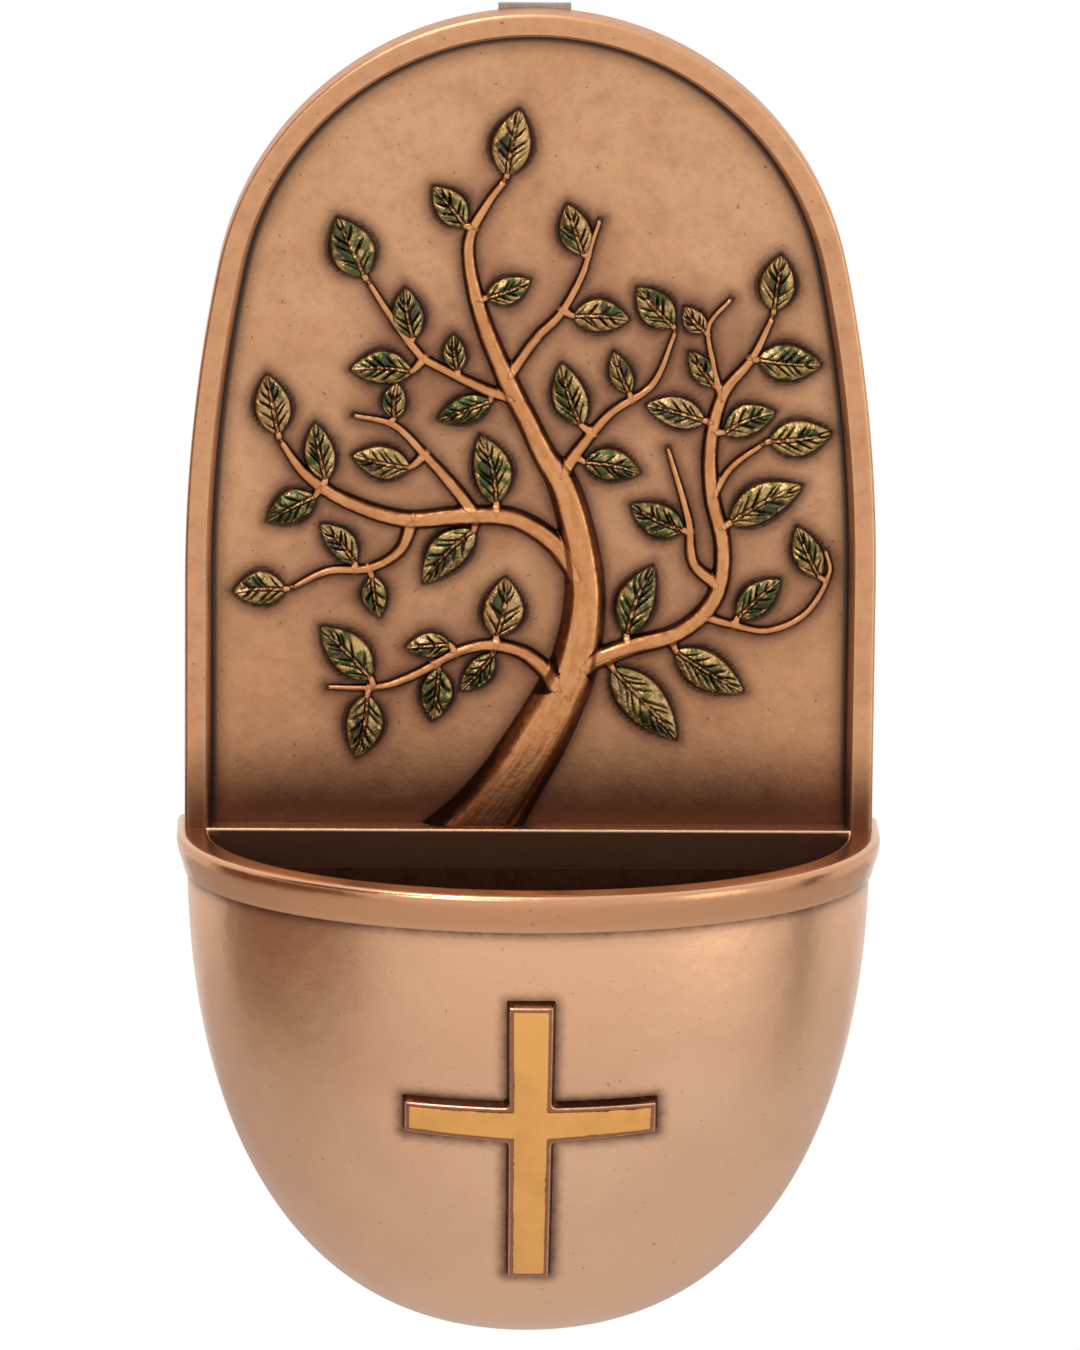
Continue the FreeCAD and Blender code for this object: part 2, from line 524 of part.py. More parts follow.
def make_bowl():
    """Half bowl with a banded rim, a back wall and a seat for the liner."""
    body = shaped("BowlForm", bowl_form(BODY_HALF_WIDTH, BODY_REACH, size("bowl_drop")))
    rim, reach, flare = size("rim_half_width"), size("rim_reach"), size("rim_flare")
    edge_round, turns = size("rim_round"), 4
    sections = [(flare, -size("rim_band"))]
    for step in range(turns + 1):
        turn = math.pi / 2 * step / turns
        sections.append((edge_round * (1 - math.cos(turn)), edge_round * (math.sin(turn) - 1)))
    band = Part.makeLoft([oval_wire(rim - inset, reach - inset, 0, z) for inset, z in sections], True, True)
    blank = fused("BowlBlank", [body, shaped("RimBand", band)])
    width = size("rim_width")
    mouth = extruded("Mouth", Part.Face(oval_wire(rim - width, reach - width, BORDER_FACE, 0)),
                     "Sizes.seat_drop", -UP)
    step = width + size("seat_width")
    throat = extruded("Throat", Part.Face(oval_wire(rim - step, reach - step, BORDER_FACE, 0)),
                      "Sizes.seat_drop + Sizes.seat_height", -UP)
    wall = size("bowl_wall")
    inner_width, inner_drop = BODY_HALF_WIDTH - wall, size("bowl_drop") - wall
    hollow = bowl_core(inner_width, BODY_REACH - wall, inner_drop)
    under_seat = -size("seat_drop") - size("seat_height")
    roof = Part.makeBox(2 * rim, 2 * rim, -under_seat, Vector(-rim, -2 * rim, under_seat))
    hollow = shaped("Hollow", hollow.cut(roof))
    rear = shaped("RearHollow", bowl_flat(inner_width, inner_drop, 0, TONGUE_FACE))
    holes = [mouth, throat, hollow, rear]
    for side in (-1, 1):
        holes.append(rod(f"ScrewHole{side + 1}", "Sizes.screw_radius",
                         "Sizes.screw_bite + Sizes.stand_off + Sizes.panel_thickness + Sizes.ledge_step",
                         f"{side} * Sizes.screw_spacing / 2", "-Sizes.screw_drop"))
    for number, z in enumerate(CROSS_PIN_HEIGHTS):
        holes.append(rod(f"CrossPinHole{number}", "Sizes.pin_radius + Sizes.pin_clearance",
                         "Sizes.rim_reach", "0 mm", z, BORDER_PLANE + " - Sizes.bowl_wall"))
    finish(cut("Bowl", blank, fused("BowlHollows", holes)), "bowl")


def liner_block(half_width, reach, y_back, z_top, z_bottom):
    """A D-shaped block between two heights, flat at its back."""
    block = Part.Face(oval_wire(half_width, reach, BORDER_FACE, z_top)).extrude(UP * (z_bottom - z_top))
    spare = 2 * size("rim_half_width")
    return block.common(Part.makeBox(2 * spare, spare, spare, Vector(-spare, y_back - spare, z_bottom)))


def bevelled_floor(block, z, bevel):
    """A block with its lower edges at a height bevelled."""
    return block.makeChamfer(bevel, [edge for edge in block.Edges if near(edge.CenterOfMass.z, z)])


def make_liner():
    """The water liner: a flanged D-shaped cup that lifts out of the bowl."""
    seat, gap = -size("seat_drop"), size("liner_clearance")
    top = seat + size("liner_flange")
    y_back = BORDER_FACE - size("liner_gap")
    mouth_width = size("rim_half_width") - size("rim_width") - gap
    mouth_reach = size("rim_reach") - size("rim_width") - gap
    flange = liner_block(mouth_width, mouth_reach, y_back, top, seat)
    lip, wall, corner = size("liner_lip"), size("liner_wall"), size("liner_corner")
    cup_width, cup_reach = mouth_width - lip, mouth_reach - lip
    floor = seat - size("liner_depth")
    cup = bevelled_floor(liner_block(cup_width, cup_reach, y_back, seat, floor), floor, corner)
    inner = bevelled_floor(liner_block(cup_width - wall, cup_reach - wall, y_back - wall, top, floor + wall),
                           floor + wall, corner - wall / 2)
    blank = fused("LinerBlank", [shaped("LinerFlange", flange), shaped("LinerCup", cup)])
    finish(cut("Liner", blank, shaped("LinerHollow", inner)), "liner")


# ---------------------------------------------------------------- cross
CROSS_PIN_HEIGHTS = [f"-Sizes.cross_top_drop - Sizes.cross_{word}_pin" for word in ("upper", "lower")]


def cross_prism(inset):
    """A block with the cross's outline, from the border's plane into the room.

    The limbs taper, the arms rise a little towards their ends, and the corners
    between them are filleted.
    """
    top = -size("cross_top_drop") - inset
    foot = -size("cross_top_drop") - size("cross_height") + inset
    arm = -size("cross_top_drop") - size("cross_arm_drop")
    end, lift = arm + size("cross_arm_lift"), size("cross_arm_width") / 2 - inset
    root = size("cross_arm_root") / 2 - inset
    span = size("cross_half_span") - inset
    share = size("cross_arm_drop") / size("cross_height")
    top_half, foot_half = size("cross_top_width") / 2 - inset, size("cross_foot_width") / 2 - inset
    waist = top_half + (foot_half - top_half) * share
    right = [(top_half, top), (waist, arm + root), (span, end + lift), (span, end - lift),
             (waist, arm - root), (foot_half, foot)]
    points = right + [(-x, z) for x, z in reversed(right)]
    corners = [Vector(x, BORDER_FACE, z) for x, z in points + points[:1]]
    block = Part.Face(Part.makePolygon(corners)).extrude(TO_ROOM * (2 * size("rim_reach")))
    inner = [edge for edge in block.Edges
             if near(abs(edge.CenterOfMass.x), waist) and near(abs(edge.CenterOfMass.z - arm), root)]
    return block.makeFillet(size("cross_fillet") + inset, inner)


def bowl_shell(inside, outside):
    """The skin of the bowl's round front between two offsets."""
    outer = bowl_round(BODY_HALF_WIDTH + outside, BODY_REACH + outside, size("bowl_drop") + outside)
    inner = bowl_round(BODY_HALF_WIDTH + inside, BODY_REACH + inside, size("bowl_drop") + inside)
    return outer.cut(inner)


def make_cross():
    """The cross, cast to the bowl's curve, and its gilded face."""
    relief, gilding = size("cross_relief"), size("gilding_thickness")
    limb = doc.addObject("Part::Common", "CrossLimbs")
    limb.Base = shaped("CrossPrism", cross_prism(0))
    limb.Tool = shaped("CrossSkin", bowl_shell(0, relief))
    pieces = [limb]
    ring = bowl_round(BODY_HALF_WIDTH - size("bowl_wall"), BODY_REACH - size("bowl_wall"),
                      size("bowl_drop") - size("bowl_wall"))
    outer = bowl_round(BODY_HALF_WIDTH + relief / 2, BODY_REACH + relief / 2, size("bowl_drop") + relief / 2)
    for number, z in enumerate(CROSS_PIN_HEIGHTS):
        pin = rod(f"CrossPin{number}", "Sizes.pin_radius", "Sizes.rim_reach", "0 mm", z,
                  BORDER_PLANE + " - Sizes.bowl_wall")
        trimmed = doc.addObject("Part::Common", f"TrimmedPin{number}")
        trimmed.Base = pin
        trimmed.Tool = shaped(f"PinWall{number}", outer.cut(ring))
        pieces.append(trimmed)
    finish(fused("Cross", pieces), "cross")
    gilt = doc.addObject("Part::Common", "Gilding")
    gilt.Base = shaped("GildingPrism", cross_prism(size("gilding_inset")))
    gilt.Tool = shaped("GildingSkin", bowl_shell(relief, relief + gilding))
    finish(gilt, "gilding")


# ---------------------------------------------------------------- fastenings
def make_screw(label, radius, length, head_radius, head_height, x, z):
    """A slotted cheese-head screw driven from behind into the room side."""
    name = label.title().replace("_", "")
    shank = rod(name + "Shank", radius, length, x, z, "-Sizes.stand_off")
    head = rod(name + "Head", head_radius, head_height, x, z, f"-Sizes.stand_off + {head_height}")
    slot = doc.addObject("Part::Box", name + "Slot")
    bind(slot, Length=f"2 * {head_radius}", Width="Sizes.screw_slot", Height="Sizes.screw_slot",
         Placement_dot_Base_dot_x=f"{x} - {head_radius}",
         Placement_dot_Base_dot_y=f"-Sizes.stand_off + {head_height} - Sizes.screw_slot",
         Placement_dot_Base_dot_z=f"{z} - Sizes.screw_slot / 2")
    return cut(name, fused(name + "Blank", [shank, head]), slot)


def make_bowl_screws():
    """The two screws that hold the bowl to the plate's tongue."""
    for side, word in ((-1, "left"), (1, "right")):
        screw = make_screw(f"bowl_screw_{word}", "Sizes.screw_radius",
                           "Sizes.panel_thickness + Sizes.ledge_step + Sizes.screw_bite",
                           "Sizes.screw_head_radius", "Sizes.screw_head_height",
                           f"{side} * Sizes.screw_spacing / 2", "-Sizes.screw_drop")
        finish(screw, f"bowl_screw_{word}")


STRAP_LENGTH = "2 * Sizes.strap_foot + 2 * Sizes.strap_joggle + Sizes.strap_bridge"
TACK_HEIGHTS = {
    "upper": "Sizes.strap_top - Sizes.upper_tack_inset",
    "lower": f"Sizes.strap_top - ({STRAP_LENGTH}) + Sizes.lower_tack_inset",
}


def make_hanger():
    """The bridged steel strap with its keyhole, behind the arch."""
    thick, foot, joggle = size("strap_thickness"), size("strap_foot"), size("strap_joggle")
    top = size("strap_top")
    upper_bend = top - foot
    upper_bridge = upper_bend - joggle
    lower_bridge = upper_bridge - size("strap_bridge")
    lower_bend = lower_bridge - joggle
    bottom = lower_bend - foot
    outer = [(PANEL_BACK, top), (PANEL_BACK, upper_bend), (-thick, upper_bridge), (-thick, lower_bridge),
             (PANEL_BACK, lower_bend), (PANEL_BACK, bottom)]
    inner = [(y + thick, z) for y, z in reversed(outer)]
    x = -size("strap_half_width")
    corners = [Vector(x, y, z) for y, z in outer + inner + outer[:1]]
    strip = extruded("StrapStrip", Part.Face(Part.makePolygon(corners)), "2 * Sizes.strap_half_width",
                     Vector(1, 0, 0))
    entry = rod("KeyholeEntry", "Sizes.keyhole_radius", "2 * Sizes.strap_thickness", "0 mm",
                "Sizes.keyhole_height", "Sizes.strap_thickness / 2")
    end = rod("KeyholeEnd", "Sizes.keyhole_slot", "2 * Sizes.strap_thickness", "0 mm",
              "Sizes.keyhole_height + Sizes.keyhole_travel", "Sizes.strap_thickness / 2")
    slot = doc.addObject("Part::Box", "KeyholeSlot")
    bind(slot, Length="2 * Sizes.keyhole_slot", Width="2 * Sizes.strap_thickness",
         Height="Sizes.keyhole_travel", Placement_dot_Base_dot_x="-Sizes.keyhole_slot",
         Placement_dot_Base_dot_y="Sizes.strap_thickness / 2 - 2 * Sizes.strap_thickness",
         Placement_dot_Base_dot_z="Sizes.keyhole_height")
    holes = [entry, end, slot]
    for side in (-1, 1):
        for name, height in TACK_HEIGHTS.items():
            holes.append(rod(f"StrapHole{name}{side + 1}", "Sizes.tack_radius", "Sizes.stand_off",
                             f"{side} * Sizes.tack_spacing / 2", height))
    finish(cut("Hanger", strip, fused("StrapHoles", holes)), "hanger")


def make_strap_screws():
    """Four small screws that hold the strap's feet to the plate."""
    for name, height in TACK_HEIGHTS.items():
        for side, word in ((-1, "left"), (1, "right")):
            label = f"strap_screw_{name}_{word}"
            tack = label.title().replace("_", "")
            x = f"{side} * Sizes.tack_spacing / 2"
            outer = "Sizes.strap_thickness - Sizes.stand_off"
            shank = rod(tack + "Shank", "Sizes.tack_radius",
                        "Sizes.strap_thickness + Sizes.tack_bite", x, height, outer)
            head = rod(tack + "Head", "Sizes.tack_head_radius", "Sizes.tack_head_height", x, height,
                       outer + " + Sizes.tack_head_height")
            finish(fused(tack, [shank, head]), label)


make_back_plate()
tree_shape = make_tree()
make_leaves(tree_shape)
make_bowl()
make_bowl_screws()
make_liner()
make_cross()
make_hanger()
make_strap_screws()
doc.recompute()

for item in doc.Objects:
    if "Invalid" in item.State or "Error" in item.State:
        raise RuntimeError(f"{item.Name} did not build: {item.State}")
for item in sub_parts:
    if item.Shape.isNull() or not item.Shape.isValid():
        raise RuntimeError(f"{item.Label} has no valid shape")

os.makedirs("parts", exist_ok=True)
for item in sub_parts:
    item.Shape.exportStep(f"parts/{item.Label}.step")
    print(item.Label, len(item.Shape.Solids), round(item.Shape.Volume, 1))
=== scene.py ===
"""Looks of a wall-hung holy water stoup in cast bronze.

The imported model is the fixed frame.  Finer meshes stand for its castings: the
back plate, the tree in relief, its lacquered leaves, the half bowl and the
gilded cross.  The liner, hanger and screws keep their meshes and get their
finishes here.  Lengths are millimetres over the seam between plate and bowl,
unless a docstring says otherwise.  `Place` turns them into the frame's metres.
"""

import json
import logging
import math
import random
from dataclasses import dataclass, field
from enum import Enum
from typing import Callable, Iterable, Optional, Sequence, Union

import bmesh
import bpy
from bmesh.types import BMEdge, BMesh, BMLayerItem, BMVert
from bpy.types import Material, NodeSocket, Object, World
from mathutils import Matrix, Vector
from mathutils.kdtree import KDTree

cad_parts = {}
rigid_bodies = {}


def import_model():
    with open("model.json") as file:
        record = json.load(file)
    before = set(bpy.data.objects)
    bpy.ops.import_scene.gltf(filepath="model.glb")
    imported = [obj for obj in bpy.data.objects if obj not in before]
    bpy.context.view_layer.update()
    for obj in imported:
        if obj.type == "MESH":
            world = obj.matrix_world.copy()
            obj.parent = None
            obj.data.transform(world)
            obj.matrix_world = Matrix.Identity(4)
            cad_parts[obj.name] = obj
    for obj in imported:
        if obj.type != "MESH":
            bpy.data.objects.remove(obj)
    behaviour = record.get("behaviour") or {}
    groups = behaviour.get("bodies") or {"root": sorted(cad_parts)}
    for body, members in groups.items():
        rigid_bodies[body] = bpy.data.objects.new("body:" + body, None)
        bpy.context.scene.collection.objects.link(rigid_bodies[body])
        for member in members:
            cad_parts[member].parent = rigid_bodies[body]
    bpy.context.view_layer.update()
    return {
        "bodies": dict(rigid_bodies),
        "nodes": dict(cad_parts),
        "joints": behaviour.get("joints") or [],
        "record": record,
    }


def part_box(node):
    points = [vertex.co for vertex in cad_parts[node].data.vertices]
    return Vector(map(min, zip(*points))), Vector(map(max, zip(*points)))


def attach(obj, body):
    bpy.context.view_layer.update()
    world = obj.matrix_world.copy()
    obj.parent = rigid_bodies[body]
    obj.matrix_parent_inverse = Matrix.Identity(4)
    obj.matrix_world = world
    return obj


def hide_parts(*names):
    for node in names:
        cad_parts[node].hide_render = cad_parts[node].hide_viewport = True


LOG = logging.getLogger("stoup")
MM = 0.001
QUARTER = math.pi / 2
# Turn of all noise, in radians, and the tolerances of cuts and of matches.
NOISE_TURN = (0.61, 0.37, 0.23)
EXACT = 1e-8
SAME = 1e-6
# The distance from an edge or a relief past which neither patina nor painted shade reads it.
FAR = 9.0
Number = Union[float, "Signal"]
Colour = tuple[float, float, float]
Tint = Union[Colour, "Signal"]
Owner = Union[Material, World]
Point = tuple[float, float]
Range = tuple[float, float]
Triple = tuple[float, float, float]
Blade = tuple[float, float, float, float, float]
Row = dict[str, float]
Spots = Callable[[int, int], Vector]
Marks = Callable[[int, int], dict[str, float]]
WHITE: Colour = (1.0, 1.0, 1.0)


class Body(Enum):
    """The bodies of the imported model."""

    STOUP = "stoup"
    LINER = "liner_cup"


# ------------------------------------------------------------------ shaders
class Signal:
    """A node's output socket that takes part in Python expressions."""

    def __init__(self, graph: "Graph", socket: NodeSocket) -> None:
        """Wrap a socket.

        Args:
            graph: The graph that the socket belongs to.
            socket: The output socket.
        """
        self.graph = graph
        self.socket = socket

    def __add__(self, other: Number) -> "Signal":
        """Sum."""
        return self.graph.math("ADD", self, other)

    def __radd__(self, other: Number) -> "Signal":
        """Reflected sum."""
        return self.graph.math("ADD", other, self)

    def __sub__(self, other: Number) -> "Signal":
        """Difference."""
        return self.graph.math("SUBTRACT", self, other)

    def __rsub__(self, other: Number) -> "Signal":
        """Reflected difference."""
        return self.graph.math("SUBTRACT", other, self)

    def __mul__(self, other: Number) -> "Signal":
        """Product."""
        return self.graph.math("MULTIPLY", self, other)

    def __rmul__(self, other: Number) -> "Signal":
        """Reflected product."""
        return self.graph.math("MULTIPLY", other, self)

    def over(self, low: float, high: float) -> "Signal":
        """Smooth step from 0 at low to 1 at high."""
        return self.graph.node("ShaderNodeMapRange", {"interpolation_type": "SMOOTHSTEP"},
                               {"Value": self, "From Min": low, "From Max": high}, "Result")


class Graph:
    """A node tree that is made from expressions."""

    def __init__(self, owner: Owner, end: str) -> None:
        """Start an empty tree.

        Args:
            owner: The material or world that has the tree.
            end: Type of its output node.
        """
        owner.use_nodes = True
        self.owner = owner
        self.end = end
        self.tree = owner.node_tree
        self.tree.nodes.clear()

    def node(self, kind: str, settings: dict, values: dict, output: Union[str, int] = 0) -> Signal:
        """Add a node.

        Args:
            kind: The node's type.
            settings: Its settings, set before its sockets.
            values: Values or signals of its input sockets, by name or index.
            output: Name or index of the output that is returned.

        Returns:
            The chosen output.
        """
        made = self.tree.nodes.new(kind)
        for name, setting in settings.items():
            setattr(made, name, setting)
        for name, value in values.items():
            socket = made.inputs[name]
            if isinstance(value, Signal):
                self.tree.links.new(value.socket, socket)
            elif isinstance(value, tuple) and socket.type == "RGBA":
                socket.default_value = (*value, 1.0)
            else:
                socket.default_value = value
        return Signal(self, made.outputs[output])

    def math(self, operation: str, *terms: Number) -> Signal:
        """Add a Math node with its inputs in order."""
        return self.node("ShaderNodeMath", {"operation": operation}, dict(enumerate(terms)))

    def close(self, surface: Signal) -> Owner:
        """Link a shader to the output.

        Args:
            surface: The shader.

        Returns:
            The finished material or world.
        """
        end = self.tree.nodes.new(self.end)
        self.tree.links.new(surface.socket, end.inputs["Surface"])
        return self.owner


class Shader(Graph):
    """A procedural material."""

    def __init__(self, name: str) -> None:
        """Start an empty material of a name."""
        super().__init__(bpy.data.materials.new(name), "ShaderNodeOutputMaterial")

    def mix(self, factor: Number, first: Tint, second: Tint) -> Signal:
        """Mix two colours.

        Args:
            factor: Share of the second colour.
            first: The colour at 0.
            second: The colour at 1.

        Returns:
            The mixed colour.
        """
        return self.node("ShaderNodeMix", {"data_type": "RGBA", "blend_type": "MIX", "clamp_factor": True},
                         {0: factor, 6: first, 7: second}, 2)

    def layers(self, colour: Tint, *above: tuple[Number, Tint]) -> Tint:
        """Lay colours over a colour.

        Args:
            colour: The lowest colour.
            above: Shares and colours of the layers over it, in order.

        Returns:
            The mixed colour.
        """
        for share, shade in above:
            colour = self.mix(share, colour, shade)
        return colour

    def attribute(self, name: str) -> Signal:
        """Read a number stored on the mesh."""
        return self.node("ShaderNodeAttribute", {"attribute_name": name}, {}, "Fac")

    def place(self) -> Signal:
        """Read the place on the piece, in metres."""
        return self.node("ShaderNodeTexCoord", {}, {}, "Object")

    def height(self, seam: float) -> Signal:
        """Read the height over the seam, in metres."""
        return self.node("ShaderNodeSeparateXYZ", {}, {"Vector": self.place()}, "Z") - seam

    def noise(self, grain: float, detail: float = 2.0, roughness: float = 0.6,
              stretch: Triple = (1.0, 1.0, 1.0)) -> Signal:
        """Add noise over the piece, askew to its flat faces so that no rows show on them.

        Args:
            grain: Size of the noise's features, in millimetres.
            detail: Number of finer layers.
            roughness: Strength of the finer layers.
            stretch: Scale of the place along each axis.

        Returns:
            The noise, from 0 to 1 with a mean of a half.
        """
        spot = self.node("ShaderNodeMapping", {},
                         {"Vector": self.place(), "Scale": stretch, "Rotation": NOISE_TURN})
        return self.noise_at(spot, 1.0 / (grain * MM), detail, roughness)

    def noise_at(self, spot: Signal, scale: float, detail: float, roughness: float) -> Signal:
        """Add noise at a place of its own.

        Args:
            spot: The place that it reads.
            scale: The noise's scale.
            detail: Number of finer layers.
            roughness: Strength of the finer layers.

        Returns:
            The noise, from 0 to 1 with a mean of a half.
        """
        return self.node("ShaderNodeTexNoise", {"noise_dimensions": "3D"},
                         {"Vector": spot, "Scale": scale, "Detail": detail, "Roughness": roughness}, "Fac")

    def bumps(self, *heights: tuple[Signal, float]) -> Signal:
        """Stack bumps.

        Args:
            heights: Their heights, from 0 to 1, and depths at 1, in millimetres.

        Returns:
            The bumped normal.
        """
        normal: dict[str, Signal] = {}
        for height, depth in heights:
            values = {"Height": height, "Distance": depth * MM, "Strength": 1.0, **normal}
            normal = {"Normal": self.node("ShaderNodeBump", {}, values, "Normal")}
        return normal["Normal"]

    def finish(self, values: dict) -> Material:
        """Close the material with a Principled shader that has some values or signals."""
        return self.close(self.node("ShaderNodeBsdfPrincipled", {}, values, "BSDF"))


def tone(red: int, green: int, blue: int) -> Colour:
    """Turn a display colour into the linear colour that the shaders use."""
    def linear(channel: int) -> float:
        """One channel."""
        share = channel / 255.0
        return share / 12.92 if share <= 0.04045 else ((share + 0.055) / 1.055) ** 2.4
    return linear(red), linear(green), linear(blue)


# ------------------------------------------------------------------ meshes
@dataclass(frozen=True)
class Place:
    """Turns millimetres over the seam into the frame's metres."""

    seam: float

    def __call__(self, x: float, y: float, z: float) -> Vector:
        """The point at x, y and z."""
        return Vector((x * MM, y * MM, z * MM + self.seam))

    def height(self, z: float) -> float:
        """The height over the seam of a z in the frame."""
        return (z - self.seam) / MM


def surface(bm: BMesh, columns: int, rows: int, place: Spots, marks: Optional[Marks] = None) -> list[BMVert]:
    """Lay a grid of quads over a surface.

    Args:
        bm: The mesh that the grid joins.
        columns: Number of quads across.
        rows: Number of quads along.
        place: Gives the point of a column and row.
        marks: Gives numbers to store at a column and row.

    Returns:
        The grid's vertices.
    """
    made = bmesh.ops.create_grid(bm, x_segments=columns, y_segments=rows, size=0.5)["verts"]
    for vert in made:
        column, row = round((vert.co.x + 0.5) * columns), round((vert.co.y + 0.5) * rows)
        vert.co = place(column, row)
        if marks is not None:
            for name, value in marks(column, row).items():
                vert[layer(bm, name)] = value
    return made


def blank(*names: str) -> BMesh:
    """An empty mesh with named layers of numbers on its vertices."""
    bm = bmesh.new()
    for name in names:
        bm.verts.layers.float.new(name)
    return bm


def layer(bm: BMesh, name: str) -> BMLayerItem:
    """The named layer of numbers on the vertices."""
    return bm.verts.layers.float[name]


def weld(bm: BMesh, gap: float = 0.004) -> None:
    """Join the vertices that meet and turn all faces outwards.

    Args:
        bm: The mesh.
        gap: Largest gap that is closed, in millimetres.
    """
    bmesh.ops.remove_doubles(bm, verts=bm.verts, dist=gap * MM)
    bmesh.ops.dissolve_degenerate(bm, edges=bm.edges, dist=SAME)
    bmesh.ops.recalc_face_normals(bm, faces=bm.faces)


def cut(bm: BMesh, spot: Vector, normal: Vector, clear: bool = False) -> None:
    """Cut a whole mesh at a plane.

    Args:
        bm: The mesh.
        spot: A point of the plane.
        normal: The plane's normal.
        clear: Whether what lies on the normal's side goes.
    """
    bmesh.ops.bisect_plane(bm, geom=bm.verts[:] + bm.edges[:] + bm.faces[:], dist=EXACT, plane_co=spot,
                           plane_no=normal, clear_outer=clear)


def round_off(bm: BMesh, edges: list[BMEdge], radius: float) -> None:
    """Round edges of a mesh off.

    Args:
        bm: The mesh.
        edges: The edges.
        radius: The rounding, in millimetres.
    """
    bmesh.ops.bevel(bm, geom=edges, offset=radius * MM, segments=3, profile=0.5, affect="EDGES", material=-1)


def fill_holes(bm: BMesh) -> None:
    """Close every open loop of a mesh."""
    bmesh.ops.holes_fill(bm, edges=[edge for edge in bm.edges if edge.is_boundary], sides=0)


def to_object(bm: BMesh, name: str, material: Material, crease: float = 34.0) -> Object:
    """Turn a mesh into a smooth shaded object.

    Args:
        bm: The mesh, which is freed.
        name: The object's name.
        material: Its material.
        crease: Angle over which an edge stays sharp, in degrees.

    Returns:
        The object, in the scene.
    """
    for face in bm.faces:
        face.smooth = True
    for edge in bm.edges:
        edge.smooth = not (edge.is_manifold and edge.calc_face_angle(0.0) > math.radians(crease))
    mesh = bpy.data.meshes.new(name)
    bm.to_mesh(mesh)
    bm.free()
    mesh.materials.append(material)
    made = bpy.data.objects.new(name, mesh)
    bpy.context.scene.collection.objects.link(made)
    return made


def plan_finder(points: Iterable[Point]) -> KDTree:
    """Make a finder of the nearest of some points in plan.

    Args:
        points: The points as x and z.

    Returns:
        The finder, whose points have a third number of 0.
    """
    points = list(points)
    finder = KDTree(len(points))
    for index, (x, z) in enumerate(points):
        finder.insert((x, z, 0.0), index)
    finder.balance()
    return finder


def dress(piece: Object, material: Material) -> None:
    """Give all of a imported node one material."""
    piece.data.materials.clear()
    piece.data.materials.append(material)


def blend(first: float, second: float, share: float) -> float:
    """Straight mix of two numbers."""
    return first + (second - first) * share


def across(column: int, columns: int) -> float:
    """Place of a column across a grid, from -1 to 1."""
    return 2 * column / columns - 1


def quarter(last: int, first: int = 0) -> Iterable[tuple[int, float, float]]:
    """Walk a quarter turn.

    Args:
        last: Number of the last step, at the quarter turn's end.
        first: Number of the first step.

    Yields:
        Each step's number, sine and cosine.
    """
    for step in range(first, last + 1):
        turn = QUARTER * step / last
        yield step, math.sin(turn), math.cos(turn)


def clamp(value: float) -> float:
    """A number kept between 0 and 1."""
    return min(max(value, 0.0), 1.0)


# ------------------------------------------------------------------ finishes
# Bare numbers in the finishes are shares of a layer, edges of a smooth step,
# and, in noise and bumps, millimetres.
@dataclass(frozen=True)
class PlateBronze:
    """Satin bronze of the back plate: patina round the relief, painted shade low down, among crowded relief and
    at the border's foot.
    """

    metal: Colour = tone(214, 164, 122)
    warm: Colour = tone(200, 146, 106)
    low: Colour = tone(184, 126, 84)
    border: Colour = tone(211, 155, 113)
    patina_and_shade: Colour = tone(76, 38, 24)
    russet: Colour = tone(84, 42, 26)
    shade: Colour = tone(132, 82, 60)
    deep: Colour = tone(34, 15, 9)
    rubbed_highlight: Colour = tone(232, 184, 142)

    def material(self, seam: float) -> Material:
        """Make the material.

        Args:
            seam: Height of the seam in the frame, in metres.

        Returns:
            The material.
        """
        make = Shader("plate_bronze")
        gap, crowd_shade, edge, wear, frame = map(make.attribute, ("gap", "crowd_shade", "edge", "wear", "frame"))
        high = make.height(seam)
        cloud, patch = make.noise(14.0, 3.0, 0.55), make.noise(4.0, 3.0)
        mottle, fine, grain = make.noise(1.6, 4.0), make.noise(0.6, 3.0, 0.7), make.noise(0.28)
        specks = make.noise(0.75, 1.0, 0.4).over(0.735, 0.79)
        uneven = (mottle - 0.5) * 1.2 + (fine - 0.5) * 0.9
        halo = 1.0 - (gap + uneven).over(0.0, 2.6)
        # rim_halo is partly patina, partly painted shade in the corner at the border's foot.
        rim_halo = 1.0 - (edge + uneven).over(-0.2, 3.4)
        # Painted shade: the panel darkens towards the bottom.
        lower_shade = 1.0 - (high + (cloud - 0.5) * 0.02).over(0.008, 0.05)
        foot = 1.0 - (high + (patch - 0.5) * 0.004 + (fine - 0.5) * 0.0016).over(0.001, 0.0135)
        line = 1.0 - (gap + (fine - 0.5) * 0.2).over(0.05, 0.5)
        dark = make.math("MAXIMUM", line, 1.0 - edge.over(0.0, 0.75))
        colour = make.layers(
            self.metal, (cloud.over(0.35, 0.7) * 0.6, self.warm), (lower_shade * 0.42, self.low), (frame, self.border),
            (patch.over(0.45, 0.75) * 0.16, self.shade), (mottle.over(0.42, 0.72) * 0.16, self.shade),
            # The shade colour laid by crowding of the relief is painted shade among the dense boughs and
            # leaves.
            (crowd_shade * 0.62, self.shade), (halo * halo * 0.66, self.patina_and_shade),
            (rim_halo * rim_halo * 0.6, self.patina_and_shade), (foot * 0.9, self.russet), (dark * 0.92, self.deep),
            # Bright edges from the rubbing layer: partly real rubbing, partly a painted highlight.
            (specks * 0.5, self.patina_and_shade), (grain.over(0.5, 0.9) * 0.16, self.patina_and_shade), (wear * 0.35, self.rubbed_highlight))
        return make.finish({"Base Color": colour, "Metallic": 0.86 - dark * 0.45,
                            "Roughness": 0.4 + mottle * 0.08 + halo * 0.12 - wear * 0.1,
                            "Normal": make.bumps((grain, 0.014), (fine, 0.02), (mottle, 0.04), (cloud, 0.25))})


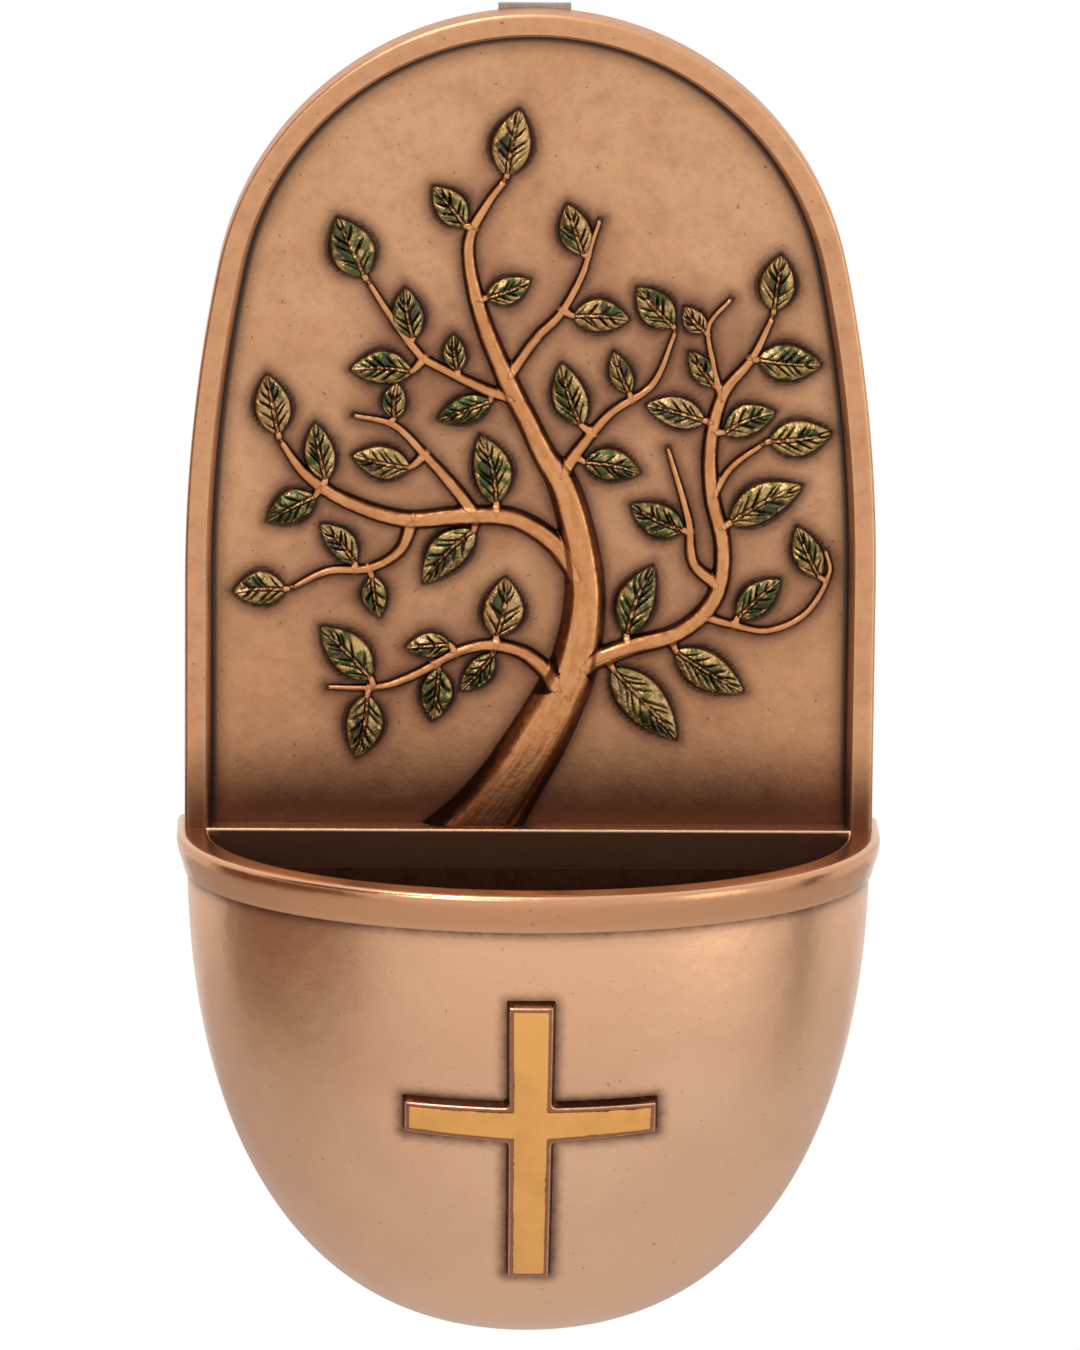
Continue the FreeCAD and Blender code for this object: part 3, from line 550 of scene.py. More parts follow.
@dataclass(frozen=True)
class TreeBronze:
    """Brushed bronze of the boughs: bright flat crests, sides darkened partly by patina, partly by painted
    shade.
    """

    crest: Colour = tone(214, 152, 100)
    warm: Colour = tone(190, 120, 70)
    side: Colour = tone(120, 62, 34)
    patina_and_shade: Colour = tone(36, 16, 9)
    foot: Colour = tone(104, 54, 30)

    def material(self, seam: float) -> Material:
        """Make the material.

        Args:
            seam: Height of the seam in the frame, in metres.

        Returns:
            The material.
        """
        make = Shader("tree_bronze")
        flank, side, run = map(make.attribute, ("flank", "side", "run"))
        high = make.height(seam)
        streak = make.node("ShaderNodeCombineXYZ", {}, {"X": side * 0.9, "Y": run * 0.16, "Z": flank})
        bark = make.noise_at(streak, 1.0, 3.0, 0.6)
        mottle, grain = make.noise(1.1, 3.0), make.noise(0.22)
        low = 1.0 - (high + (bark - 0.5) * 0.012).over(0.0, 0.0155)
        # The dark sides are partly patina, partly painted shade and dark reflection on the steep flanks.
        ragged = flank + (bark - 0.5) * 0.55 + (mottle - 0.5) * 0.35 + low * 0.34
        colour = make.layers(
            self.crest, ((bark + mottle * 0.6).over(0.62, 1.0) * 0.75, self.warm), (low * 0.8, self.foot),
            (ragged.over(0.62, 0.9) * 0.9, self.side), (ragged.over(0.86, 1.16) * 0.96, self.patina_and_shade),
            (grain.over(0.55, 0.9) * 0.15, self.side))
        return make.finish({"Base Color": colour, "Metallic": 0.85, "Roughness": 0.24 + mottle * 0.14,
                            "Normal": make.bumps((grain, 0.012), (mottle, 0.05), (bark, 0.12))})


@dataclass(frozen=True)
class LeafLacquer:
    """Green lacquer on the leaves, worn to gold on their lobes, black in their creases."""

    gold: Colour = tone(204, 166, 108)
    olive: Colour = tone(126, 106, 40)
    green: Colour = tone(46, 74, 10)
    black: Colour = tone(14, 8, 3)
    copper: Colour = tone(196, 134, 84)
    wall: Colour = tone(82, 36, 20)

    def material(self) -> Material:
        """Make the material.

        Returns:
            The material.
        """
        make = Shader("leaf_lacquer")
        crease, rib, tint, rim, deep = map(make.attribute, ("crease", "rib", "tint", "rim", "deep"))
        patch, mottle, grain = make.noise(1.3, 2.0, 0.5), make.noise(0.5, 3.0, 0.65), make.noise(0.2)
        stain = mottle - 0.5
        pool = deep + (patch - 0.5) * 1.5 + stain * 0.4
        dark = (crease + stain * 0.3).over(0.22, 0.52)
        bare = (rib + stain * 0.15).over(0.25, 0.5)
        outline = 1.0 - (rim + stain * 0.3).over(0.76, 1.06)
        colour = make.layers(
            self.gold, ((mottle + patch * 0.6).over(0.62, 0.98), self.olive),
            ((tint * 0.3 + patch).over(0.64, 0.82) * 0.85, self.green),
            ((1.0 - tint + mottle * 0.7).over(1.15, 1.5) * 0.5, self.copper),
            (pool.over(0.2, 0.5) * 0.92, make.mix(patch.over(0.42, 0.6), self.black, self.green)),
            (dark * 0.96, self.black), (bare * 0.9, self.copper), (outline * 0.95, self.wall))
        return make.finish({"Base Color": colour, "Metallic": 0.72 + bare * 0.2,
                            "Roughness": 0.17 + mottle * 0.14, "Specular IOR Level": 0.3,
                            "Coat Weight": 0.4 - dark * 0.3, "Coat Roughness": 0.06,
                            "Normal": make.bumps((grain, 0.012), (mottle, 0.08), (patch, 0.3))})


@dataclass(frozen=True)
class BowlBronze:
    """Satin pinkish bronze of the bowl, darker under the band and round the cross with patina and painted
    shade.
    """

    metal: Colour = tone(232, 185, 151)
    rose: Colour = tone(220, 170, 141)
    tan: Colour = tone(224, 172, 132)
    dust: Colour = tone(150, 96, 68)
    brown: Colour = tone(104, 62, 42)
    rim: Colour = tone(202, 143, 101)
    patina_and_shade: Colour = tone(62, 32, 20)
    inside: Colour = tone(72, 38, 24)
    rubbed_highlight: Colour = tone(240, 200, 166)

    def material(self, seam: float) -> Material:
        """Make the material.

        Args:
            seam: Height of the seam in the frame, in metres.

        Returns:
            The material.
        """
        make = Shader("bowl_bronze")
        gap, nook, rim, inside, wear = map(make.attribute, ("gap", "nook", "rim", "inside", "wear"))
        cloud, mottle = make.noise(18.0, 3.0, 0.55), make.noise(1.5, 4.0)
        grain = make.noise(0.3, 2.0, 0.65)
        specks = make.noise(0.7, 1.0, 0.4).over(0.75, 0.8)
        upper = (make.height(seam) + (cloud - 0.5) * 0.05).over(-0.042, -0.008)
        # The halo round the cross is partly patina, partly a painted shadow and dark reflection.
        halo = 1.0 - (gap + (mottle - 0.5) * 0.8).over(-0.3, 2.2)
        colour = make.layers(
            self.metal, (cloud.over(0.35, 0.7) * 0.6, self.rose), (upper * 0.7, self.tan),
            (rim * 0.75, self.rim), (grain.over(0.5, 0.85) * 0.2, self.dust), (halo * 0.8, self.brown),
            # The colour under the band's step (nook) is partly patina, partly painted shade under the overhang.
            (halo * halo * halo * 0.7, self.patina_and_shade), (nook * (0.75 + (mottle - 0.5) * 0.6), self.patina_and_shade),
            # Bright rim edges from the rubbing layer: partly real rubbing, partly a painted highlight.
            (inside * 0.94, self.inside), (specks * 0.35, self.patina_and_shade), (wear * 0.5, self.rubbed_highlight))
        return make.finish({"Base Color": colour, "Metallic": 0.92 - halo * 0.2,
                            "Roughness": 0.28 + mottle * 0.08 + inside * 0.2 - rim * 0.1,
                            "Normal": make.bumps((grain, 0.012), (mottle, 0.03), (cloud, 0.35))})


@dataclass(frozen=True)
class CrossBronze:
    """Bronze of the cross: sides dark with patina and a painted dark reflection, a brown border, and edges
    bright from rubbing and a painted highlight.
    """

    border: Colour = tone(158, 104, 76)
    dark: Colour = tone(52, 26, 16)
    bright: Colour = tone(232, 184, 150)

    def material(self) -> Material:
        """Make the material.

        Returns:
            The material.
        """
        make = Shader("cross_bronze")
        wear, side = make.attribute("wear"), make.attribute("side")
        patch, mottle, grain = make.noise(3.0, 3.0), make.noise(0.9, 3.0), make.noise(0.2)
        stain = mottle - 0.5
        colour = make.layers(
            # The dark sides are partly patina, partly a painted dark reflection.
            self.border, ((side + stain * 0.5).over(0.2, 0.6), self.dark),
            ((patch + stain * 0.5).over(0.56, 0.7) * side * 0.6, self.border),
            # Bright front edge: partly real rubbing, partly a painted highlight.
            ((wear + stain * 0.9).over(0.36, 0.7) * 0.9, self.bright), (grain.over(0.5, 0.9) * 0.2, self.dark))
        return make.finish({"Base Color": colour, "Metallic": 0.88, "Roughness": 0.24 + mottle * 0.15,
                            "Normal": make.bumps((grain, 0.012), (mottle, 0.05))})


@dataclass(frozen=True)
class GiltFace:
    """Matt golden ochre of the cross's face, chipped along its edges."""

    gold: Colour = tone(236, 172, 92)
    deep: Colour = tone(214, 149, 74)
    chip: Colour = tone(64, 34, 20)

    def material(self) -> Material:
        """Make the material.

        Returns:
            The material.
        """
        make = Shader("gilt_face")
        edge = make.attribute("edge")
        cloud, mottle, grain = make.noise(5.0, 3.0, 0.55), make.noise(0.8, 3.0, 0.65), make.noise(0.16)
        stain = (mottle - 0.5) * 0.5
        chips = (1.0 - (edge + stain).over(0.0, 0.11)) * (cloud + stain).over(0.46, 0.56)
        colour = make.layers(self.gold, (cloud.over(0.35, 0.7) * 0.5, self.deep),
                             (grain.over(0.5, 0.85) * 0.14, self.deep), (chips * 0.92, self.chip))
        return make.finish({"Base Color": colour, "Metallic": 0.25, "Roughness": 0.52 + mottle * 0.1,
                            "Normal": make.bumps((grain, 0.01), (mottle, 0.03))})


@dataclass(frozen=True)
class FittingMetal:
    """Metal of a hidden fitting: liner, hanger or screw."""

    name: str
    metal: Colour
    stain: Colour
    roughness: float
    grain: float
    stretch: Triple = (1.0, 1.0, 1.0)

    def material(self) -> Material:
        """Make the material.

        Returns:
            The material.
        """
        make = Shader(self.name)
        cloud, brush = make.noise(4.0, 3.0), make.noise(self.grain, stretch=self.stretch)
        colour = make.layers(self.metal, (cloud.over(0.4, 0.75) * 0.7, self.stain),
                             (brush.over(0.45, 0.8) * 0.3, self.stain))
        return make.finish({"Base Color": colour, "Metallic": 0.95, "Roughness": self.roughness + cloud * 0.15,
                            "Normal": make.bumps((brush, 0.015))})


# ------------------------------------------------------------------ tree
# Centre lines of the trunk and boughs: x, z and width there.
BOUGHS: dict[str, list[Triple]] = {
    "trunk": [(-9.0, -4.0, 12.0), (-5.6, 0.6, 9.3), (-2.4, 5.4, 7.8), (0.7, 10.5, 7.2), (3.7, 16.3, 6.3),
              (5.8, 21.5, 5.5), (7.0, 29.7, 4.6), (6.1, 37.5, 4.0), (3.9, 44.9, 3.4), (1.7, 48.3, 2.6),
              (-0.4, 52.6, 2.3), (-2.9, 57.5, 2.2), (-6.2, 65.4, 1.8), (-7.9, 72.0, 1.4), (-8.0, 76.5, 1.2),
              (-5.5, 81.3, 0.9), (-3.6, 83.8, 0.8)],
    "crown_bough": [(-2.9, 58.6, 1.2), (0.7, 63.7, 1.1), (3.4, 66.5, 1.0), (6.2, 71.6, 0.8), (7.4, 75.6, 0.6),
                    (8.5, 78.9, 0.5)],
    "upper_left_bough": [(-2.2, 55.6, 1.2), (-6.1, 56.9, 1.2), (-11.6, 59.6, 1.0), (-14.1, 61.1, 1.0),
                         (-18.0, 66.3, 0.8), (-20.8, 70.6, 0.6)],
    "left_bough": [(6.2, 32.6, 2.2), (2.8, 37.1, 2.2), (-2.3, 40.1, 2.1), (-8.5, 40.4, 2.0),
                   (-16.1, 39.9, 1.8), (-23.6, 42.3, 1.5), (-28.6, 45.6, 1.2), (-31.9, 50.0, 0.7)],
    "left_fork": [(-7.0, 40.4, 1.4), (-9.8, 44.1, 1.3), (-14.0, 48.8, 1.0), (-17.6, 52.2, 0.8),
                  (-22.8, 53.4, 0.5)],
    "left_hanging_fork": [(-15.0, 40.0, 1.5), (-16.7, 35.8, 1.2), (-20.5, 33.5, 1.0), (-25.8, 33.1, 0.9),
                          (-30.4, 30.9, 0.6)],
    "lowest_bough": [(5.0, 17.0, 1.8), (2.0, 20.3, 1.8), (-0.8, 22.5, 1.5), (-5.0, 23.5, 1.3),
                     (-9.1, 22.6, 1.1), (-14.6, 19.6, 1.0), (-19.0, 18.0, 0.8), (-26.0, 17.9, 0.5)],
    "middle_right_bough": [(3.6, 45.4, 1.5), (6.3, 49.4, 1.3), (10.1, 53.9, 1.0), (15.3, 57.6, 0.8),
                           (18.2, 64.5, 0.5)],
    "right_bough": [(6.6, 21.0, 2.2), (12.6, 23.3, 2.1), (19.2, 25.4, 1.9), (23.6, 29.9, 1.8),
                    (24.5, 36.4, 1.7), (23.0, 43.4, 1.6), (22.8, 50.1, 1.5), (24.4, 56.5, 1.3),
                    (27.9, 61.0, 1.0), (30.5, 66.4, 0.6)],
    "right_inner_fork": [(23.9, 31.5, 1.5), (20.8, 34.4, 1.2), (20.1, 39.9, 0.9), (17.3, 49.5, 0.5)],
    "right_upper_fork": [(24.1, 55.6, 0.9), (22.9, 60.7, 0.7), (22.4, 65.2, 0.6), (25.3, 68.8, 0.5)],
    "right_hanging_fork": [(21.5, 27.6, 1.1), (25.6, 26.4, 0.9), (30.5, 25.6, 0.8), (35.3, 28.0, 0.7),
                           (38.2, 33.3, 0.6), (37.6, 36.2, 0.5)],
    "right_side_twig": [(23.1, 42.9, 0.9), (25.4, 46.8, 0.8), (29.4, 49.9, 0.6)],
}

# Leaves: x and z of the tip, x and z of the stalk end, width.
LEAVES: list[Blade] = [
    (-1.8, 93.0, -3.4, 84.4, 5.8), (-12.8, 83.0, -8.6, 77.9, 4.6), (-0.2, 71.1, -5.9, 68.7, 3.9),
    (4.3, 80.9, 6.4, 74.2, 4.7), (12.4, 66.0, 5.1, 66.4, 5.0), (-24.9, 79.0, -21.3, 71.3, 6.4),
    (-16.2, 70.0, -15.1, 63.3, 4.7), (-23.2, 59.3, -15.2, 59.1, 5.0), (-10.0, 64.0, -9.4, 59.2, 3.4),
    (-12.1, 52.9, -5.2, 55.4, 4.1), (-17.1, 57.8, -17.5, 53.0, 3.6), (-22.9, 48.2, -15.4, 46.6, 5.0),
    (-33.7, 58.7, -32.2, 50.9, 5.3), (-27.5, 52.5, -26.1, 44.9, 4.5), (-6.6, 51.1, -4.4, 42.0, 5.7),
    (-33.7, 39.5, -27.4, 42.9, 4.8), (-13.7, 31.5, -7.2, 38.6, 5.6), (-26.8, 39.3, -22.3, 34.1, 4.1),
    (-38.0, 30.3, -31.2, 30.7, 5.0), (-19.2, 27.0, -20.2, 32.5, 3.7), (-3.1, 32.5, -4.3, 24.5, 6.1),
    (-15.9, 23.2, -10.1, 23.6, 3.7), (-26.8, 25.9, -20.2, 19.0, 5.7), (-22.2, 8.6, -20.7, 16.9, 5.5),
    (-12.5, 13.4, -11.6, 20.4, 4.8), (-8.9, 17.5, -4.6, 22.4, 3.8), (3.7, 60.4, 6.3, 52.2, 5.1),
    (10.3, 61.9, 12.4, 56.4, 3.4), (13.2, 70.2, 17.9, 65.1, 5.1), (14.0, 46.1, 6.6, 47.5, 4.8),
    (19.2, 67.7, 22.0, 64.4, 3.4), (19.9, 62.0, 23.2, 57.4, 3.4), (31.5, 74.5, 30.6, 67.2, 5.3),
    (36.9, 60.3, 28.6, 60.9, 5.5), (14.4, 55.0, 22.0, 52.9, 4.6), (31.1, 54.2, 24.4, 51.4, 4.6),
    (38.3, 51.5, 30.2, 50.3, 5.3), (12.6, 42.0, 19.5, 38.6, 5.0), (34.7, 44.6, 25.3, 39.6, 5.6),
    (33.9, 39.3, 36.9, 32.6, 4.4), (32.0, 32.4, 26.4, 27.2, 4.6), (15.7, 34.1, 12.3, 24.8, 5.6),
    (27.5, 17.5, 18.6, 22.9, 5.6), (19.0, 11.2, 10.5, 20.6, 6.4),
]

# Where the tree's cast pins go through the panel.
TREE_PINS: list[Point] = [(0.0, 9.0), (6.9, 31.0), (-11.0, 40.3), (22.9, 46.5)]


@dataclass
class Sample:
    """One station of a bough: where it is, which way it runs and how wide it is."""

    x: float
    z: float
    across_x: float
    across_z: float
    width: float
    run: float


def along_route(route: Sequence[Triple], spacing: float) -> list[Sample]:
    """Walk a smooth curve through a route's points.

    Args:
        route: Points as x, z and width.
        spacing: Distance between stations, in millimetres.

    Returns:
        The stations.
    """
    knots = [0.0]
    for first, second in zip(route, route[1:]):
        knots.append(knots[-1] + math.dist(first[:2], second[:2]))

    def slope(index: int) -> tuple[float, ...]:
        """Change of the route's numbers per millimetre at a point."""
        low, high = max(index - 1, 0), min(index + 1, len(route) - 1)
        return tuple((b - a) / (knots[high] - knots[low]) for a, b in zip(route[low], route[high]))

    count = max(4, round(knots[-1] / spacing))
    samples: list[Sample] = []
    for step in range(count + 1):
        run = knots[-1] * step / count
        piece = max(index for index in range(len(route) - 1) if knots[index] <= run + EXACT)
        span = knots[piece + 1] - knots[piece]
        t = (run - knots[piece]) / span
        ends = route[piece], route[piece + 1]
        slopes = slope(piece), slope(piece + 1)
        value, change = [], []
        for axis in range(3):
            a, b, m, n = ends[0][axis], ends[1][axis], slopes[0][axis] * span, slopes[1][axis] * span
            value.append(a * (2 * t**3 - 3 * t**2 + 1) + m * (t**3 - 2 * t**2 + t) + b * (3 * t**2 - 2 * t**3)
                         + n * (t**3 - t**2))
            change.append((6 * t**2 - 6 * t) * (a - b) + m * (3 * t**2 - 4 * t + 1) + n * (3 * t**2 - 2 * t))
        length = math.hypot(change[0], change[1]) or 1.0
        samples.append(Sample(value[0], value[1], change[1] / length, -change[0] / length, value[2], run))
    return samples


@dataclass
class Tree:
    """The tree in relief: trunk, boughs, leaf stalks and the pins behind."""

    place: Place
    panel: float = -4.2
    panel_back: float = -2.5
    relief_limit: float = 2.8
    twig_relief: float = 0.35
    relief_share: float = 0.5
    sunk: float = 0.3
    voxel: float = 0.16
    spacing: float = 0.34
    coarse_spacing: float = 0.6
    stalk_width: float = 0.95
    stalk_root: float = 0.4
    stalk_swell: float = 1.3
    stalk_limit: float = 1.15
    stalk_entry: float = 0.15
    stalk_neck: float = 0.8
    stalk_reach: float = 0.22
    stalk_tip: float = 0.45
    pin_radius: float = 1.5
    pin_taper: float = 0.94
    pin_head: float = 0.5
    pin_round: float = 0.14
    pin_tone: float = 0.3
    flat: float = 0.5
    shoulder: float = 0.85
    crown: float = 0.14
    skirt: float = 0.42
    skirt_share: float = 0.26
    flank_limit: float = 1.5
    nearest: int = 6
    front_columns: int = 18
    around: int = 24
    samples: list[Sample] = field(default_factory=list)

    def relief(self, width: float) -> float:
        """Height over the panel of a bough of a width."""
        return min(self.twig_relief + self.relief_share * width, self.relief_limit)

    def foot(self, width: float) -> float:
        """Half of the width of a bough's foot on the panel, with its sloping sides."""
        return width / 2 + min(self.skirt, self.skirt_share * width)

    def routes(self) -> list[list[Triple]]:
        """All routes: the boughs, and a stalk from its bough into each leaf."""
        found = list(BOUGHS.values())
        stations = [s for route in BOUGHS.values() for s in along_route(route, self.coarse_spacing)]
        for tip_x, tip_z, base_x, base_z, width in LEAVES:
            near = min(stations, key=lambda s: (s.x - base_x) ** 2 + (s.z - base_z) ** 2)
            gap = math.hypot(near.x - base_x, near.z - base_z)
            length = math.hypot(tip_x - base_x, tip_z - base_z)
            into = ((tip_x - base_x) / length, (tip_z - base_z) / length)
            stem = self.stalk_width * blend(0.8, 1.05, (width - 3.0) / 3.0)

            def onwards(reach: float) -> Point:
                """The point at a reach from the stalk's end into the leaf."""
                return base_x + into[0] * reach, base_z + into[1] * reach

            foot = (near.x, near.z) if gap > self.stalk_root else onwards(-self.stalk_root)
            found.append([(*foot, min(stem * self.stalk_swell, near.width * self.stalk_limit)),
                          (*onwards(self.stalk_entry), stem * self.stalk_neck),
                          (*onwards(length * self.stalk_reach), stem * self.stalk_tip)])
        return found

    def section(self, column: int) -> Point:
        """A bough's section: a flat, slightly crowned top between sloping sides.

        Args:
            column: The column round the section.

        Returns:
            The place across, from -1 to 1, and the height, 1 on the crest and under 0 below the panel.
        """
        if column <= self.front_columns:
            side = -across(column, self.front_columns)
            slope = min((1 - abs(side)) / (1 - self.flat), 1.0)
            return side, math.sin(slope * QUARTER) ** self.shoulder * (1 - self.crown * side**2)
        side = across(column - self.front_columns, self.around - self.front_columns)
        return side, -(1 - side**2)

    def tube(self, bm: BMesh, samples: list[Sample], rooted: bool) -> None:
        """Lay a closed bough along stations, rounded off at its free ends.

        Args:
            bm: The mesh that it joins.
            samples: The stations.
            rooted: Whether its first end stands on the ledge.
        """
        last = samples[-1].run

        def point(column: int, row: int) -> Vector:
            """A point of the bough."""
            spot = samples[row]
            end = (last - spot.run if rooted else min(spot.run, last - spot.run)) / max(spot.width * 0.5, 0.2)
            full = math.sqrt(max(0.0, 1.0 - (1.0 - min(end, 1.0)) ** 2))
            side, high = self.section(column)
            reach = self.foot(spot.width) * full * side
            out = high * full * (self.relief(spot.width) if high > 0 else self.sunk)
            return self.place(spot.x + spot.across_x * reach, self.panel - out, spot.z + spot.across_z * reach)

        surface(bm, self.around, len(samples) - 1, point)

    def build(self, material: Material) -> Object:
        """Build the tree.

        Args:
            material: Its finish.

        Returns:
            The tree's object.
        """
        bm = blank()
        for number, route in enumerate(self.routes()):
            samples = along_route(route, self.spacing)
            self.samples.extend(samples)
            self.tube(bm, samples, number == 0)
        weld(bm, 0.002)
        cut(bm, self.place(0.0, 0.0, 0.0), Vector((0, 0, -1)), clear=True)
        fill_holes(bm)
        mesh = bpy.data.meshes.new("tree_rough")
        bm.to_mesh(mesh)
        bm.free()
        rough = bpy.data.objects.new("tree_rough", mesh)
        bpy.context.scene.collection.objects.link(rough)
        remesh = rough.modifiers.new("cast", "REMESH")
        remesh.mode, remesh.voxel_size = "VOXEL", self.voxel * MM
        cast = bpy.data.meshes.new_from_object(rough.evaluated_get(bpy.context.evaluated_depsgraph_get()))
        bpy.data.objects.remove(rough)
        bm = blank("flank", "side", "run")
        bm.from_mesh(cast)
        for _ in range(2):
            bmesh.ops.smooth_vert(bm, verts=bm.verts, factor=0.5, use_axis_x=True, use_axis_y=True,
                                  use_axis_z=True)
        self.mark(bm)
        for x, z in TREE_PINS:
            self.pin(bm, x, z)
        bmesh.ops.recalc_face_normals(bm, faces=bm.faces)
        piece = to_object(bm, "tree_relief", material, 60.0)
        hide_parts("tree")
        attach(piece, Body.STOUP.value)
        return piece

    def mark(self, bm: BMesh) -> None:
        """Store how far each vertex lies from its bough's crest, and where along the bough.

        Args:
            bm: The cast mesh.
        """
        finder = plan_finder((spot.x, spot.z) for spot in self.samples)
        flank, side, run = layer(bm, "flank"), layer(bm, "side"), layer(bm, "run")
        for vert in bm.verts:
            x, z = vert.co.x / MM, self.place.height(vert.co.z)
            vert.co.z = max(vert.co.z, self.place.seam)
            near = [self.samples[index] for _, index, _ in finder.find_n((x, z, 0.0), self.nearest)]
            spot = min(near, key=lambda s: math.hypot(x - s.x, z - s.z) / s.width)
            off = (x - spot.x) * spot.across_x + (z - spot.z) * spot.across_z
            vert[flank] = min(abs(off) / (spot.width / 2), self.flank_limit)
            vert[side] = off
            vert[run] = spot.run

    def pin(self, bm: BMesh, x: float, z: float) -> None:
        """Add a cast pin with its peened head behind the panel.

        Args:
            bm: The mesh that it joins.
            x: Where the pin is, to the right.
            z: Where the pin is, upwards.
        """
        turn = Matrix.Rotation(QUARTER, 4, "X")
        made = bmesh.ops.create_cone(bm, cap_ends=True, segments=32, radius1=self.pin_radius * MM,
                                     radius2=self.pin_radius * self.pin_taper * MM,
                                     depth=self.pin_head * MM)["verts"]
        bmesh.ops.rotate(bm, verts=made, cent=(0, 0, 0), matrix=turn.to_3x3().inverted())
        bmesh.ops.translate(bm, verts=made, vec=self.place(x, self.panel_back + self.pin_head / 2, z))
        rims = [edge for edge in {e for v in made for e in v.link_edges}
                if not edge.is_boundary and edge.calc_face_angle(0.0) > 1.0]
        round_off(bm, rims, self.pin_round)
        for vert in bm.verts:
            if vert.co.y / MM > self.panel_back - 0.01:
                vert[layer(bm, "flank")] = self.pin_tone


@dataclass
class Foliage:
    """The lacquered leaves: ovate blades with a midrib and puffed lobes between slanting creases."""

    place: Place
    panel: float = -4.2
    relief: float = 1.2
    rim_height: float = 0.7
    base_power: float = 0.76
    tip_power: float = 0.98
    edge: float = 0.79
    foot: float = -0.25
    blunt: float = 0.03
    puff: float = 0.45
    roundness: float = 2.2
    fall: float = 1.2
    rib: float = 0.11
    rib_height: float = 0.1
    crease: float = 0.2
    crease_depth: float = 0.46
    crease_spacing: float = 1.7
    crease_stray: float = 0.28
    slant: Range = (0.3, 0.5)
    strength: Range = (0.7, 1.1)
    bend: float = 0.06
    tilt: float = 0.26
    lift: Range = (-0.1, 0.16)
    hollow: Range = (0.45, 0.8)
    hollow_side: float = 0.5
    hollow_size: Range = (0.34, 0.6)
    along: int = 52
    columns: int = 36
    seed: int = 7
    plan: list[Point] = field(default_factory=list)

    def half_width(self, share: float) -> float:
        """Half width of a blade as a share of the widest, from stalk to tip."""
        peak = self.base_power / (self.base_power + self.tip_power)
        top = peak ** self.base_power * (1 - peak) ** self.tip_power
        return share ** self.base_power * (1 - share) ** self.tip_power / top

    def creases(self, length: float, chance: random.Random) -> list[Triple]:
        """The creases of one side of a leaf.

        Args:
            length: The leaf's length.
            chance: Source of their uneven places, slants and strengths.

        Returns:
            Each crease's start on the midrib, slant and strength.
        """
        count = max(3, round(length / self.crease_spacing))
        return [((step + 0.1 + chance.uniform(-self.crease_stray, self.crease_stray)) / (count + 0.6),
                 chance.uniform(*self.slant), chance.uniform(*self.strength)) for step in range(count)]

    def leaf(self, bm: BMesh, leaf: Blade, chance: random.Random) -> None:
        """Lay one leaf.

        Args:
            bm: The mesh that it joins.
            leaf: Tip, stalk end and width.
            chance: Source of the leaf's own bend, tilt, creases and tint.
        """
        tip_x, tip_z, base_x, base_z, width = leaf
        length = math.hypot(tip_x - base_x, tip_z - base_z)
        along_x, along_z = (tip_x - base_x) / length, (tip_z - base_z) / length
        across_x, across_z = along_z, -along_x
        bend = chance.uniform(-self.bend, self.bend) * length
        tilt = chance.uniform(-self.tilt, self.tilt)
        lift = chance.uniform(*self.lift)
        tint = chance.random()
        sides = {-1: self.creases(length, chance), 1: self.creases(length, chance)}
        hollow = chance.uniform(*self.hollow), chance.uniform(-self.hollow_side, self.hollow_side)

        def rib(u: float, v: float) -> float:
            """Strength of the midrib at a place of the blade."""
            reach = abs(v) * self.half_width(u) * width / 2
            return math.exp(-((reach / (self.rib * (1.6 - u))) ** 2)) * (1 - 0.5 * u)

        def crease(u: float, v: float) -> float:
            """Strength of the creases at a place of the blade."""
            side, hand = abs(v), 1 if v > 0 else -1
            narrow = self.crease * (1.35 - 0.8 * side)
            found = max(strength * math.exp(-(((u - start - slant * side**0.8 * (1 - 0.5 * start)) * length
                                               / narrow) ** 2)) for start, slant, strength in sides[hand])
            reach = side * self.half_width(u) * width / 2
            beside = 0.8 * math.exp(-(((reach - self.rib * 2.4) / self.rib) ** 2)) * (1 - 0.5 * u)
            return max(found * (1 - (side / self.edge) ** 4 if side < self.edge else 0.0), beside)

        def height(u: float, v: float) -> float:
            """Height of the blade over the panel."""
            side = abs(v)
            inner = min(side / self.edge, 1.0)
            dome = math.sin(math.pi * min(max(u, 0.02), 0.98)) ** self.puff
            puff = (self.relief + lift - self.rim_height) * (1 - inner**self.roundness)
            blade = self.rim_height + puff * dome
            blade += tilt * v * dome * 0.8 - crease(u, v) * self.crease_depth * dome
            blade += rib(u, v) * self.rib_height
            if side <= self.edge:
                return blade
            return blend(blade, self.foot, ((side - self.edge) / (1 - self.edge)) ** self.fall)

        def point(column: int, row: int) -> Vector:
            """A point of the blade."""
            u, v = row / self.along, across(column, self.columns)
            reach = v * self.half_width(u) * width / 2 + bend * math.sin(math.pi * u)
            ends = min(1.0, min(u, 1 - u) / self.blunt)
            lifted = self.foot + (height(u, v) - self.foot) * ends
            x = base_x + along_x * u * length + across_x * reach
            z = base_z + along_z * u * length + across_z * reach
            if abs(v) == 1 or (column % 6 == 0 and row % 3 == 0):
                self.plan.append((x, z))
            return self.place(x, self.panel - lifted, z)

        def marks(column: int, row: int) -> dict[str, float]:
            """Numbers that the lacquer reads."""
            u, v = row / self.along, across(column, self.columns)
            rim = 1.0 - max(abs(v) - self.edge, 0.0) / (1 - self.edge)
            far = math.hypot((u - hollow[0]) / self.hollow_size[0], (v - hollow[1]) / self.hollow_size[1])
            return {"crease": crease(u, v), "rib": rib(u, v), "tint": tint, "deep": max(1.0 - far, 0.0),
                    "rim": min(rim, u / self.blunt, (1 - u) / self.blunt)}

        surface(bm, self.columns, self.along, point, marks)

